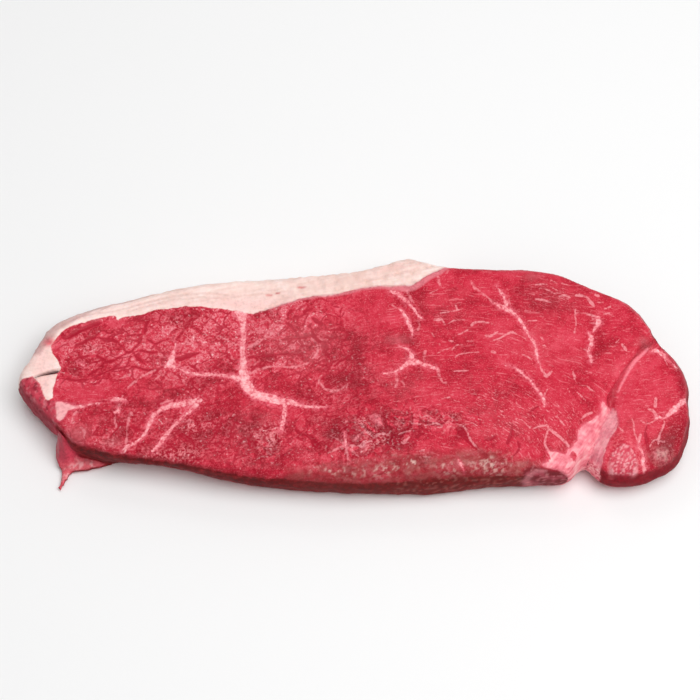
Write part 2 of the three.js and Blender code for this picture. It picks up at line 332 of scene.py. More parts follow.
# A little wandering makes the listed lines as uneven as real fat, and more so down the walls.
WANDER_SIZE = 4.5
WANDER = 0.35
WALL_WANDER_SIZE = 8
WALL_SLANT = 0.25
HALF_THICK = 10
up = ease(0.35, 0.8, normals[:, 2])
cut_face = ease(0.25, 0.65, np.abs(normals[:, 2]))
side = 1 - cut_face
wander = np.c_[rough(flat, WANDER_SIZE, shift=70), rough(flat, WANDER_SIZE, shift=-90)]
astray = np.c_[wander, wander[:, :1]]
wandered = across + WANDER * wander
wall_shift = 4 * rough(points, WALL_WANDER_SIZE, shift=400) - WALL_SLANT * (height - HALF_THICK)
down_wall = np.c_[wall_shift, 3 * rough(points, WALL_WANDER_SIZE, shift=-400)]
TRIANGLE_SEAM = [(-75, -2.5), (-73, 2), (-71.5, 6), (-71, 9.5), (-70, 8.5), (-70.5, 6), (-71, 2), (-70.5, -1),
                 (-70, -2.5)]
DROP_SEAM = [(-92, -19), (-94, -21.5), (-93, -22), (-91.5, -22), (-90.5, -21.5)]
FLAKE = [(-109.5, 1), (-108.5, 1), (-106.5, -1), (-107.5, -1.5)]
seam_depth = depth_in_lines(wandered, SEAMS)
for outline in (TRIANGLE_SEAM, DROP_SEAM, FLAKE):
    seam_depth = np.maximum(seam_depth, depth_in_area(wandered, outline))
vein_depth = depth_in_lines(wandered, VEINS)
sliver_depth = depth_in_lines(across + 0.15 * wander, SLIVERS)


# The fat cap along the back edge, the two lobes of fat at the left end, and the pink fat and
# silverskin in front of the tail. Outlines are seen from above, in millimetres, and run past
# the slice where they cover its wall.
CAP_EDGE = [(-16, 29.8), (-21.5, 28.5), (-27, 26.5), (-33.5, 24.5), (-37.5, 23), (-40.5, 22), (-43.5, 23),
            (-47.6, 23.6), (-52.5, 24.5), (-62.5, 25), (-68.5, 25), (-74.5, 24.5), (-79.5, 24),
            (-83.5, 22.5), (-88.5, 21.5), (-92, 21), (-94.5, 19.5), (-95.5, 21.5), (-99.5, 21),
            (-101.5, 20.5), (-106.5, 18.5), (-109.5, 17.5), (-113.5, 16), (-116.5, 13.5), (-119.5, 9.5),
            (-120.5, 7), (-119.5, 4), (-116.5, 0.5), (-115.8, -2), (-116.8, -3.6)]
CAP_HEM = [(39, 44), (36, 43), (31, 40), (27, 37), (22.5, 34.5), (15.5, 34.5), (10.5, 34.5), (4.5, 34),
           (-1.5, 33), (-6.5, 31), (-11.5, 30)]
CAP_BACK = [(-120, -4), (-124, -5), (-128, -6.4), (-133, -7.6), (-150, 0), (-150, 70), (39, 70)]
CAP = CAP_HEM + CAP_EDGE + CAP_BACK
LOWER_LOBE = [(-127.5, -5.8), (-124, -4.6), (-117, -4.5), (-117.5, -8), (-118, -11.5), (-118, -15),
              (-119.5, -16.5), (-120.5, -16), (-122, -13), (-123.5, -9), (-125.5, -6.5)]
WEDGE = [(-117, -17), (-114, -17), (-111, -18), (-108.5, -19), (-109.5, -20), (-111.5, -21), (-113, -24),
         (-114.5, -25), (-116, -23.5), (-116.5, -20)]
PINK_FAT = [(97, -17), (99, -18.6), (101, -18.4), (100.4, -21), (97.8, -26), (95, -31.5), (92.6, -37.5),
            (89.5, -42.5), (86, -47), (81, -50), (78, -47.5), (74.5, -46.4), (71.5, -45), (74.4, -42.4),
            (76, -41), (75, -38), (78.5, -38.6), (81.5, -39.6), (83.4, -37), (86.6, -33.6), (87.2, -30),
            (88.6, -27.6), (92.5, -25), (96.4, -21.6)]
TEAR_IN_FAT = [(84.5, -38), (86.2, -39), (86, -41.5), (84.5, -42), (83.2, -40)]
SILVERSKIN = [(101.5, -18.5), (103, -22), (103.2, -26), (102, -28), (99.5, -31.5), (97.8, -36), (96.3, -39.5),
              (95.7, -43), (96.2, -46.5), (95.3, -50), (93.5, -50), (91.2, -46), (90.6, -42), (92.2, -38),
              (94.4, -32.5), (97, -27), (99.4, -22)]
CAP_GROOVES = [
    [(-117, 16.5, 0.5), (-111, 20, 0.6), (-103.5, 22.5, 0.7), (-98.5, 23, 0.6), (-91.5, 25, 0.8),
     (-81.5, 28, 0.9), (-71.5, 30, 0.8), (-59, 31, 0.9), (-46, 30, 0.6)],
    [(-91, 23.5, 0.5), (-84, 25.5, 0.6), (-74, 28, 0.7), (-64, 29, 0.6), (-54, 29, 0.5), (-46, 29.5, 0.4)],
    [(-103.5, 23, 0.4), (-96, 27, 0.6), (-89, 29, 0.6), (-79, 32, 0.5), (-69, 33.5, 0.4)],
    [(5.5, 37, 0.5), (10.5, 38.5, 0.8), (15.5, 40, 0.8), (22, 41.5, 0.8), (26, 43, 0.5)],
    [(-50, 29.5, 0.4), (-42.5, 30.5, 0.6), (-34.5, 31.5, 0.6), (-28, 32, 0.4)],
]

cap_place = wandered + side[:, None] * down_wall
cap_depth = np.maximum(depth_in_area(cap_place, CAP), depth_in_area(cap_place, LOWER_LOBE))
silverskin_depth = depth_in_area(wandered, SILVERSKIN)
pink_depth = np.maximum(depth_in_area(wandered, PINK_FAT), depth_in_area(wandered, WEDGE))
pink_depth = np.minimum(pink_depth, -depth_in_area(wandered, TEAR_IN_FAT))
cap_groove = ease(-0.5, 0.4, depth_in_lines(across + 0.3 * wander, CAP_GROOVES))


# The lean between the seams. Its fibres lie in bundles that part along creases, the cut has torn
# some of them into crumbs, and parts of the face are darker, brighter or greyer than the rest.
CREASES = [
    [(-65, 20, 1.2), (-66.5, 18, 1.6), (-68, 15, 1.4), (-69.5, 11.5, 1.2), (-71, 8, 0.9)],
    [(-67.5, 16, 0.8), (-64.5, 16.5, 1.2), (-62.5, 15, 1.6), (-60.5, 13, 1.2)],
    [(-83, 19.5, 1.2), (-83.5, 16, 1.5), (-83.5, 13, 1), (-84.5, 10.5, 0.9), (-85.5, 8, 1.1), (-87, 6, 1.2),
     (-88.5, 4.5, 1.2), (-90.5, 5, 1), (-92, 7, 1), (-93.5, 9, 1.3), (-96, 10, 1.6), (-99, 10.5, 1.8),
     (-102, 11.5, 1), (-105, 10.5, 1), (-108, 9, 1.2), (-110.5, 7, 1.2)],
    [(-114, 2, 0.7), (-110.5, 2, 0.8), (-107.5, 3, 0.9), (-104.5, 3.5, 1), (-101.5, 3, 0.9),
     (-99.5, 1.5, 0.9), (-97.5, 0.5, 1.4), (-95.5, 1, 1.2), (-93.5, 2, 0.9), (-91, 3.5, 0.9),
     (-88.5, 4.5, 1)],
    [(-87.5, 4.5, 0.8), (-85, 5, 1), (-83, 4.5, 1.2), (-80, 4.5, 1.2), (-78, 5, 0.8)],
    [(-82.5, 10.5, 0.8), (-81, 9.5, 1), (-78.5, 8.5, 1.1), (-76, 9.5, 0.8), (-73.5, 10.5, 0.7)],
    [(-87.5, 4, 0.8), (-86, 2, 1.1), (-84.5, 0.5, 1.2), (-82.5, -1, 0.9)],
    [(-89, -1, 0.8), (-86.5, -2, 1), (-83.5, -3, 1.2), (-80.5, -3.5, 1.3), (-77.5, -3, 1.2), (-75.5, -2, 1)],
    [(-93, 12, 0.6), (-89, 12, 0.8), (-84.5, 12.5, 0.9)],
    [(-116, -6.5, 0.8), (-112, -7, 1), (-108, -7, 1.2), (-104.5, -6.5, 0.9), (-101.5, -5.5, 0.8),
     (-98, -4, 0.8), (-95.5, -3, 0.8), (-92.5, -2.5, 0.9), (-89, -1.5, 0.8)],
    [(-105, -5.5, 0.8), (-102.5, -3.5, 1), (-100.5, -1.5, 0.9), (-99, 0, 0.8)],
    [(-71, 2.5, 1.4), (-68.5, 2, 2.4), (-66, 3, 2), (-63.5, 4, 1.6), (-61, 4.5, 1)],
    [(-117, 13.5, 1.4), (-114.5, 11, 1.8), (-111, 13.5, 2.4), (-107, 15.5, 2.2), (-102, 18, 1.6)],
    [(-117, -16, 0.7), (-112, -17, 1), (-109, -18, 1), (-105, -18.5, 0.9), (-100.5, -17.5, 0.9),
     (-95.5, -16.5, 0.7)],
    [(-69, -29, 1.6), (-66.5, -31.5, 2), (-63.5, -34, 1.8), (-61.5, -35.5, 1)],
    [(-62.5, -23, 1.2), (-60.5, -27, 1.8), (-60, -30, 1.4)],
    [(-84, -35, 0.8), (-84, -38.5, 0.8), (-84, -42, 0.7)],
    [(-79, -38.5, 0.8), (-79.5, -41, 0.9), (-80, -43, 0.7)],
    [(-73, -33.5, 0.8), (-71, -35.5, 0.9), (-69, -38, 1), (-68.5, -41.5, 0.9)],
    [(-86, -27, 1), (-84, -28.5, 1.2), (-81, -29.5, 1)],
    [(-107.5, -35.5, 1), (-102, -35.5, 0.9), (-98, -36.5, 0.9)],
    [(-27, 17.5, 1), (-24, 15, 1.3), (-22.5, 13, 1.2), (-21, 11.5, 1.2), (-17, 12, 1.1), (-15, 10.5, 1.2),
     (-14, 9.5, 1)],
    [(-16.5, 20, 1), (-15, 18.5, 2), (-13, 17.5, 1)],
    [(-17, 17.5, 0.8), (-18, 16, 1.1), (-16.5, 14.5, 0.8), (-16.5, 12, 0.8)],
    [(-8.5, 24.5, 0.8), (-7, 22, 1), (-5, 20, 1), (-5, 17, 0.9), (-3, 14.5, 1), (-2.5, 12.5, 1.3),
     (-3.5, 10.5, 0.9)],
    [(-4.5, 25.5, 0.8), (-5, 22, 0.9), (-5, 19.5, 0.9)],
    [(-11.5, 19, 0.7), (-9, 19.5, 0.9), (-7.5, 19.5, 0.7)],
    [(-9, 15, 0.9), (-6, 15.5, 1.2), (-4.5, 16.5, 0.8)],
    [(-29, 13.5, 0.8), (-29.5, 11, 0.8), (-26.5, 10.5, 0.9), (-22, 11.5, 0.9)],
    [(-36, 3.5, 0.8), (-31, 3.5, 0.9), (-27.5, 4, 0.8), (-23.5, 4, 1), (-21.5, 4, 1), (-20.5, 2, 1)],
    [(-22.5, 6.5, 0.8), (-21.5, 4, 1)],
    [(-12, 6.5, 1), (-11, 4.5, 1.3), (-9.5, 3, 1)],
    [(-25.5, 23, 1.2), (-26.5, 21, 0.8)],
    [(-20, 22.5, 1.4), (-16.5, 24, 1.2)],
    [(-42, 2, 1.2), (-38.5, 2.5, 1), (-34.5, 3, 1.6), (-32, 3.5, 1.2)],
    [(-11.5, 11.5, 1), (-8.5, 11, 1.3), (-7.5, 12, 1)],
    [(-7.5, -1, 0.8), (-4.5, 1.5, 0.9), (-1.5, 3.5, 0.9)],
    [(-20, -20.5, 0.8), (-19, -24.5, 0.9), (-18, -28.5, 1), (-18.5, -30.5, 0.8)],
    [(-23, -28.5, 1), (-21, -30.5, 1.4), (-19.5, -31, 1.2)],
    [(-6, -26.5, 1.4), (-4.5, -28, 2), (-3, -30, 1.6), (-1.5, -31, 1)],
    [(11.5, -22.5, 1.2), (12, -25.5, 2), (13, -29, 2.4), (14, -31, 2), (11.5, -33.5, 2.2), (8, -36, 2.2),
     (5, -39, 1.8), (1.5, -40, 1.4), (-0.5, -40, 1)],
    [(4.5, -23.5, 0.8), (5.5, -26, 1.1), (8, -28.5, 0.9), (11.5, -29, 1)],
    [(-18.5, -31, 1), (-16, -33.5, 2), (-14.5, -35.5, 2.4), (-13.5, -37, 1.6)],
    [(-23.5, -36.5, 0.8), (-27, -39.5, 1.2), (-30.5, -41, 1)],
    [(-40.5, -32, 2), (-39, -34.5, 2.4), (-38, -37.5, 1.8), (-38, -41, 1)],
    [(-31, -31, 1), (-29.5, -33.5, 1.4), (-31, -35.5, 1.2)],
    [(67.5, -22, 0.8), (70, -20.5, 1.2), (72.5, -19, 0.8)],
    [(61.5, -27, 1), (60.5, -31, 1.6), (59.5, -34.5, 1.2)],
    [(40.5, -28.5, 2), (42.5, -31, 2.6), (45.5, -34.5, 2), (49, -38, 1.8), (52, -41.5, 2.2)],
    [(63.5, -33.5, 1), (63.5, -37.5, 1.2), (60.5, -41, 0.9)],
    [(50.5, -33.5, 1), (53, -33, 1.6), (55, -31, 1)],
    [(47.5, -20.5, 0.8), (49, -24.5, 1.1), (49, -27, 0.8)],
    [(26, -24.5, 1.2), (30, -26, 1.6), (34, -26.5, 1.2)],
    [(22.5, -21.5, 1), (22, -26.5, 1.6), (18.5, -29.5, 1.4), (15, -30.5, 1.6)],
    [(114.4, -25, 0.6), (113.6, -31, 1.4), (114.4, -38, 1.8), (115.5, -44, 1.2)],
]

# Soft patches, each listed as x, y, half width, half depth, turn in degrees, and amount.
# These lighten and darken the lean, and the cap through the same attribute. Partly they are its own uneven
# tone, partly painted light: the dark patches at the tail's right and lower right paint shade, the bright one
# over the upper left muscle paints sheen, and broad ones even out the lamps' light across the slice.
BRIGHT_OR_DARK = [
    (-96.5, 17.5, 16, 2, 8, -0.15), (-105.5, -13.5, 12.5, 4, 0, 0.35), (-46.5, -14.5, 5, 4.5, 0, -0.35),
    (-27, -8.5, 5, 4, 0, -0.5), (-7.5, -6.5, 5, 3.5, 0, -0.5), (1.5, 6, 3, 6, 0, -0.5),
    (-2, 0, 12, 13, 0, -0.3), (-33, 3, 2.5, 2, 0, -0.5), (-23, -21, 16.5, 3.5, 0, 0.2),
    (-25.5, -41, 5.5, 5, 0, -0.6), (12, -39.5, 6.5, 2, 0, 0.1), (38.5, -20, 11, 6.5, 0, 0.35),
    (16.5, 20, 4.5, 3, 0, 0.5), (-59, -19, 5, 3.5, 0, 0.2), (-7.5, -31.5, 5, 3, 0, -0.5),
    (106.5, -17, 4, 6.5, 0, 0.3), (128, -27, 3.5, 5, 0, -0.8), (120.5, -42, 8, 7, 20, -1.1),
    (98.5, -50, 4, 3, 0, -0.8), (110, -49.5, 5, 2.5, 0, -0.6), (129.5, -7, 2.5, 7, 0, -0.9),
    (97.5, 6, 4, 4, 0, -0.25), (-62, 2, 12, 4, 0, -0.1), (-118, 6, 2, 6, 0, 0.1), (75, 10, 30, 18, 0, 0.1),
    (-48, -32, 22, 10, 0, -0.5), (44, -30, 5, 5, 0, -0.3), (-95, -26, 10, 7, 0, -0.15),
    (-8, -32, 20, 9, 0, -0.4), (2, -10, 14, 9, 0, -0.25), (-35, 8, 10, 10, 0, -0.25),
    (0, 38, 26, 5, 15, -0.5), (117, -8, 9, 10, 0, 0.45), (-88, 11, 22, 8, 0, 0.35),
    (121, -33, 6, 5, 0, -0.8), (41.5, -28.5, 2.5, 3, 0, -0.6), (18, -31, 16, 6, 0, -0.4),
    (38, 18, 22, 16, 0, -0.2), (-107, 24, 12, 6, 20, 0.5), (-70, -28, 40, 12, 0, -0.25),
    (5, -22, 28, 18, 0, -0.2), (91, -10, 14, 9, 0, 0.35), (81, 30, 14, 12, 0, -0.35),
]
SMOOTH = [
    (-96.5, 17.5, 16, 2.6, 8, 0.8), (-118, 6, 2.5, 6, 0, 0.8), (-105.5, -13.5, 13, 4.2, 0, 1),
    (-86, -11.5, 14.5, 4, 0, 0.5), (-27, -8.5, 5.5, 4.2, 0, 1), (-7.5, -6.5, 5.5, 3.8, 0, 0.9),
    (1.5, 6, 3.5, 6, 0, 0.7), (-33, 3, 2.5, 2, 0, 0.6), (-23, -21, 16.5, 3.6, 0, 0.7),
    (-46.5, -15, 5.4, 4.8, 0, 1), (-25.5, -41, 6, 5, 0, 0.8), (-24.5, -47.5, 17, 2, 0, 0.9),
    (12, -39.5, 6.5, 2, 0, 0.7), (16.5, 20, 4.5, 3, 0, 0.6), (-59, -19, 5, 3.5, 0, 0.6),
    (-7.5, -31.5, 5, 3, 0, 0.8), (106.5, -17, 4, 6.5, 0, 0.7), (-70, -42, 30, 1.6, -6, 0.6),
    (-95, -21, 4, 4, 0, 0.4), (-10, -30, 10, 9, 0, 0.4),
]
CRUMBLED = [
    (8.5, -25, 3.4, 3, -20, 0.8), (2.5, -25.5, 2.5, 2, 0, 1), (1.4, -32.5, 2.4, 1.4, 50, 1),
    (8, -35.5, 6.5, 1.5, 40, 1), (7, -31, 4, 3, 0, 0.7), (-34, -32.5, 5.5, 6, 0, 0.7),
    (-13, -25, 4, 3, 0, 0.4), (-31.5, -32, 2, 2, 0, 0.6), (104, -41, 5.2, 7.6, 0, 0.9),
    (119, -39, 3.8, 2.8, 0, 0.8), (-63.5, -27, 4, 3.4, 0, 0.7), (-63.5, -38.5, 5, 3, 0, 0.7),
    (-96, -34.5, 4, 2.4, 0, 0.5), (-73, -40, 9, 2.6, -6, 0.7), (30, -23.5, 6, 3, 0, 0.5),
    (36, -46, 3.5, 2.5, 0, 0.7), (53, -44, 8, 3.4, 0, 0.9), (27, -41, 3, 2, 0, 0.8),
    (-103, 7, 6, 2.5, 0, 0.3), (-64, 11, 5, 4.5, 0, 0.3), (-89, 9.5, 4.5, 3, 0, 0.3),
    (-69.5, 16, 8, 3.5, 0, 0.2), (18, -26, 3, 2.4, 0, 0.5), (36.5, -26, 2.2, 1.2, -30, 0.9),
    (39.5, -23, 2.4, 1.4, -30, 0.9),
]
TORN = [(9, -31, 17, 8.5, 10, 1), (33, -25, 14, 6, 0, 0.6), (-32, -36, 14, 7, 0, 0.5)]
LEAFY = [(-62, -29, 14, 8, 0, 1), (-33, -33, 11, 8, 0, 0.8)]
STREAKY = [(50, -20, 24, 14, -15, 1.2), (75, -24, 16, 10, 0, 1), (80, 30, 16, 7, 0, 1),
           (60, 8, 20, 8, 0, 0.6)]

# Outlines and lines, seen from above in millimetres.
PLATES = [
    [(5.5, -23.5), (8, -22), (10.5, -22.5), (11.5, -25), (11.5, -28), (9.5, -27.5), (6.5, -25)],
    [(3, -30.5), (2.5, -32), (1, -34), (-0.5, -33.5), (1, -31.5)],
]
FRONT_BAND = [(-25, -46), (-9, -44.5), (2.5, -42.5), (14, -40.5), (21.5, -39.7), (33.5, -39.7), (41, -38.6),
              (49, -37.4), (56.5, -40), (64, -42.4), (73.5, -45), (83, -47), (86, -60), (-25, -60)]
LOBE_SLIT = [(-117, -3.2, 0.9), (-118, -3.5, 1.2), (-120, -4, 1.2), (-123, -4.9, 0.8), (-125.5, -6, 0.5)]
TAIL_CREASE = [(120, 9.8, 0.5), (114.5, 6.5, 0.7), (111, 2, 0.7), (107.5, -2.5, 0.8), (104.5, -7.5, 1),
               (102.5, -11.5, 2), (101, -15, 2.8), (100.6, -17.6, 2)]
TAIL_LIP = [(117, 7, 0.7), (114, 4, 1.1), (111.5, 1.4, 1.1), (109, -2.2, 1.1), (107, -6, 1), (105.4, -9, 0.9),
            (104, -12, 0.6)]
TAIL = [(121, 12), (113.4, 5.5), (109.5, 0), (106, -5), (103.4, -10), (102, -15), (103, -20), (103.2, -26),
        (99.5, -31.5), (97.8, -36), (96.3, -39.5), (95.7, -43), (96, -60), (150, -60), (150, 12)]
KERNEL = (104.3, -42.6)
KERNEL_HALF_WIDTH = 5.3
KERNEL_HALF_DEPTH = 8
KERNEL_FOLDS = 3.4
KERNEL_BEAD = 1.35
NUB = [(-140, -10), (-130, -7), (-127.5, -6), (-125, -7), (-123, -9.5), (-122, -13), (-120.5, -16),
       (-119, -16.5), (-117, -16.5), (-116.5, -20), (-116, -22.5), (-116, -24.5), (-119, -30), (-140, -24)]


def patch(x, y, wide, deep, turn=0, amount=1):
    """A soft round patch on the slice, in millimetres, as strong as amount in its middle."""
    angle = math.radians(turn)
    dx, dy = across[:, 0] - x, across[:, 1] - y
    along = (dx * math.cos(angle) + dy * math.sin(angle)) / wide
    aside = (dy * math.cos(angle) - dx * math.sin(angle)) / deep
    return amount * np.exp(-(along ** 2 + aside ** 2))


def patches(listed):
    return np.sum([patch(*spot) for spot in listed], axis=0)


CHANCE_MIX = Vector((12.99, 78.23, 37.72))
CHANCE_SPREAD = 437.58


def cells(spots, size):
    """Random cells of this size: the distance from their walls, 0 to 1, and a chance for each."""
    gaps, chances = [], []
    for spot in spots / size:
        near, middles = noise.voronoi(Vector(spot))
        gaps.append(near[1] - near[0])
        chances.append(abs(math.sin(middles[0].dot(CHANCE_MIX))) * CHANCE_SPREAD % 1)
    return np.array(gaps), np.array(chances)


fat_depth = np.max([cap_depth, pink_depth, silverskin_depth], axis=0)
lean = 1 - ease(-0.6, 0.4, fat_depth)
fat_free = lean * (1 - ease(-0.5, 0.3, seam_depth))
crease_depth = depth_in_lines(across + 0.5 * wander, CREASES)
crease = ease(-0.5, 0.3, crease_depth)

COARSE_END = -26
FINE_START = 30
VALLEY_HALF_WIDTH = 3.6
coarse = 1 - ease(COARSE_END, FINE_START, across[:, 0] + 0.4 * across[:, 1])
coarse *= 1 - 0.4 * (1 - ease(-18, 6, across[:, 1]))
in_tail = ease(-0.5, 0.5, depth_in_area(across, TAIL))
crumbled = np.clip(patches(CRUMBLED), 0, 1.2) * fat_free
smooth_cut = np.clip(patches(SMOOTH), 0, 1)
grainy = (0.1 + 0.9 * coarse) * (1 - 0.9 * smooth_cut) * (1 - 0.7 * crease) + 0.8 * crumbled
grainy = np.clip(grainy, 0, 1.3) * (1 - 0.5 * side)

kernel_x = (across[:, 0] - KERNEL[0]) / KERNEL_HALF_WIDTH + 0.12 * wander[:, 0]
kernel_y = (across[:, 1] - KERNEL[1]) / KERNEL_HALF_DEPTH + 0.12 * wander[:, 1]
kernel_reach = np.hypot(kernel_x, kernel_y)
kernel = 1 - ease(0.85, 1.1, kernel_reach)
kernel_gaps, kernel_chances = cells(flat + 0.6 * astray, KERNEL_BEAD)
kernel_beads = ease(0.05, 0.35, kernel_gaps) * (0.5 + 0.5 * kernel_chances)
kernel_waves = np.cos(2 * math.pi * KERNEL_FOLDS * kernel_reach + 2.2 * rough(flat, 3, 2, shift=17))
kernel_folds = kernel * cut_face * (0.5 + 0.5 * ease(-0.5, 0.6, kernel_waves)) * kernel_beads
kernel_rim = ease(0.7, 0.95, kernel_reach) * (1 - ease(1, 1.2, kernel_reach))
kernel_rim *= ease(-40, -46, across[:, 1])

torn = np.clip(patches(TORN), 0, 1)
plate_edges = [depth_in_area(across + 0.4 * wander, outline) for outline in PLATES]
plate_depth = np.max(plate_edges, axis=0)
plate = ease(-0.2, 0.5, plate_depth) * up
plate_shade = ease(-1.6, -0.2, plate_depth) * (1 - plate) * up
band = ease(-3, 2.5, depth_in_area(across + 1.8 * wander, FRONT_BAND)) * fat_free
slit = ease(-0.5, 0.4, depth_in_line(across, LOBE_SLIT))
tail_crease_depth = depth_in_line(across, TAIL_CREASE)
tail_crease = ease(-0.8, 0.7, tail_crease_depth)
tail_valley = np.exp(-(np.clip(-tail_crease_depth, 0, REACH) / VALLEY_HALF_WIDTH) ** 2)
tail_valley *= ease(-18, -10, across[:, 1])
tail_lip = ease(-0.4, 0.3, depth_in_line(across, TAIL_LIP))
nub = ease(-0.6, 0.6, depth_in_area(across + 0.5 * wander, NUB)) * (1 - ease(-0.3, 0.3, cap_depth))

CRUMB_SIZE = 2.1
WALL_SWELL = 0.4
SEAM_DIP_WIDTH = 4
VALLEY_TOP = 18.7
VALLEY_DEPTH = 5
swell = 1 - np.exp(-np.clip(-seam_depth, 0, None) / SEAM_DIP_WIDTH)
groove = ease(-0.5, 0.4, crease_depth) * 0.1 + np.clip(crease_depth - 0.3, 0, 2) * 0.34
groove += 0.6 * torn * ease(-0.8, 0.6, crease_depth)
leafy = ease(-0.7, 0, rough(flat, 14, shift=200)) + patches(LEAFY)
bundle_parts = np.clip(leafy, 0, 1) * np.clip(2.2 * grainy + 0.4 * torn, 0, 1) * fat_free * (1 - kernel)
crumb = cells(points + 0.8 * astray, CRUMB_SIZE)[0] - 0.35
fine_swells = rough(points, 1.8, shift=11)
small_swells = rough(flat, 6.5, shift=31)
low_swells = rough(flat, 26)
torn_swells = rough(flat, 3.6, 4, shift=55)
band_swells = np.clip(rough(flat, 3.5, 4, shift=77), -0.6, 1)
lumps = rough(flat, 3.2, 2, shift=47)
beads = rough(points, 2.2, 2, shift=61)
strip_place = np.c_[across[:, 0] / 9 + 0.02 * across[:, 1], across[:, 1] - 0.24 * across[:, 0], height]
strips = rough(strip_place, 2.2)
lumpy_cap = ease(-50, -20, across[:, 0])
gritty = np.clip(grainy, 0.2, 1) * fat_free
in_fat = (1 - lean) * ease(0, 1.5, fat_depth)

# How far each feature stands out of the cut face, in millimetres, and where.
relief = sum(rise * where for rise, where in (
    (0.25, swell * lean),
    (0.45, low_swells),
    (0.16, small_swells * lean),
    (-1, groove * fat_free),
    (0.1, crumb * gritty),
    (0.07, fine_swells * gritty),
    (0.3, crumbled * (0.4 + fine_swells) * (1 - kernel)),
    (0.4, kernel_folds),
    (0.6, kernel),
    (1, torn * torn_swells * fat_free),
    (0.5, plate),
    (0.1, strips * in_fat),
    (0.12, lumps * in_fat),
    (0.4, lumps * lumpy_cap * in_fat),
    (0.25, ease(-0.3, 0.8, cap_depth)),
    (-0.3, cap_groove),
    (-1.5, slit),
    (-1, tail_crease),
    (0.25, tail_lip),
    (0.5, band * band_swells),
    (0.8, nub * beads),
    (-0.5, ease(-1, 0.3, silverskin_depth)),
))
wall_swells = rough(points, 5, shift=140) + 0.9 * lumps * ease(-0.5, 2, cap_depth)
bulge = relief * up + WALL_SWELL * wall_swells * (1 - up) * ease(1, 4, height)
moved = points + normals * bulge[:, None]
valley_fill = np.clip(VALLEY_TOP - moved[:, 2], 0, VALLEY_DEPTH)
moved[:, 2] += 0.9 * tail_valley * valley_fill * ease(6, 12, height)


# The fold of silverskin at the front left corner. It hangs from the cut face down to the loose
# flap on the table, drawn into ridges by its own weight, and leaves a moist hollow behind it.
FOLD_X = -113.6
FOLD_TOP_Y = -27.5
FOLD_FOOT_Y = -38
FOLD_HEIGHT = 13.5
FOLD_RIDGE = 2.1
FOLD_HALF_WIDTHS = (3.2, 3.8)
FLAP_HEIGHT = 5
KEPT_ABOVE_CUT = 0.3
fold_slope = ease(FOLD_FOOT_Y, FOLD_TOP_Y, across[:, 1])
fold_side = np.where(across[:, 0] < FOLD_X, *FOLD_HALF_WIDTHS)
fold_aside = across[:, 0] - FOLD_X - 0.4 * wander[:, 0]
lift = FOLD_HEIGHT * fold_slope * np.exp(-(fold_aside / fold_side) ** 2)
on_flap = ease(0.6, 3, height) * (1 - ease(FLAP_HEIGHT, FLAP_HEIGHT + 12, height))
lift *= on_flap * ease(-22, -26, across[:, 1])
fold = np.clip(lift / 2, 0, 1)
hollow = ease(-118, -112, across[:, 0]) * (1 - ease(-91, -86, across[:, 0]))
hollow *= (1 - ease(-32, -27, across[:, 1])) * (1 - ease(5, 8, height)) * (1 - fold) * up
ridges = np.cos(2 * math.pi * (fold_aside + 0.6 * rough(flat, 7, 2, shift=23)) / FOLD_RIDGE)
moved[:, 2] += lift + 0.35 * fold * ridges + 0.45 * hollow * beads * ease(1, 3, height)

# The underside stays on the table, and what stands above the solid's top is pressed down.
moved[:, 2] = np.where(height < 1, np.maximum(moved[:, 2], 0), moved[:, 2])
cut_top = cad_box[1][2] / MM
moved[:, 2] -= (1 - KEPT_ABOVE_CUT) * np.clip(moved[:, 2] - cut_top, 0, None)
steak.data.vertices.foreach_set("co", (moved * MM).astype(np.float32).ravel())
steak.data.update()


# Fibres run across the right of the slice in long bows. Their directions are set at a few
# places, as x, y and degrees, and a smooth sheet of curves is laid through them.
FIBRES = [
    (35, 20, 12), (45, 22, 12), (40, 5, 18), (50, 5, 8), (60, 4, 2), (60, 12, 12), (52, 18, -8),
    (78, 35, -6), (80, 31, -20), (70, 23, 0), (76, 28, -8), (90, 22, 0), (90, 7, -18), (40, -3, 2),
    (36, -14, 8), (30, -2, -6), (60, -15, -42), (56, -25, -55), (65, -28, -50), (68, -18, -42),
    (80, -15, -46), (80, -25, -48), (89, -11, -24), (85, -20, -50), (100, 24, 6), (100, 10, -8),
    (45, -28, -48), (0, 0, 20), (0, -30, 30), (-40, 0, 10), (-90, 0, 10), (-60, -30, 40), (-100, -15, 0),
    (20, 30, 10), (10, -10, 10),
]
TAIL_TURN = math.radians(8)
BOW_ORDER = 5
STIFFNESS = 0.02
SPAN = 100


def bows(turn):
    """A length that grows along the fibres, or across them when turned by 90 degrees."""
    powers = [(m, n) for m in range(BOW_ORDER + 1) for n in range(BOW_ORDER + 1 - m) if m + n > 0]
    rows, wanted = [], []
    for x, y, degrees in FIBRES:
        a, b = x / SPAN, y / SPAN
        rows.append([m * a ** max(m - 1, 0) * b ** n for m, n in powers])
        rows.append([n * a ** m * b ** max(n - 1, 0) for m, n in powers])
        angle = math.radians(degrees + turn)
        wanted += [math.cos(angle), math.sin(angle)]
    for row, (m, n) in enumerate(powers):
        rows.append([STIFFNESS * (m + n) ** 2 if row == column else 0 for column in range(len(powers))])
        wanted.append(0)
    weights = np.linalg.lstsq(np.array(rows, float), np.array(wanted), rcond=None)[0]
    a, b = across[:, 0] / SPAN, across[:, 1] / SPAN
    return SPAN * sum(weight * a ** m * b ** n for weight, (m, n) in zip(weights, powers))


def along_and_over(turn):
    """Lengths along and across straight fibres that are turned by this angle."""
    along = across[:, 0] * math.cos(turn) + across[:, 1] * math.sin(turn)
    over = across[:, 1] * math.cos(turn) - across[:, 0] * math.sin(turn)
    return along, over


along_tail, over_tail = along_and_over(TAIL_TURN)
along_fibres = np.where(in_tail > 0.5, along_tail, bows(0)) + 1.2 * small_swells
over_fibres = np.where(in_tail > 0.5, over_tail, bows(90)) + 0.7 * small_swells
fibres = steak.data.attributes.new("fibres", "FLOAT_VECTOR", "POINT")
fibres.data.foreach_set("vector", np.c_[along_fibres, over_fibres, height].astype(np.float32).ravel())
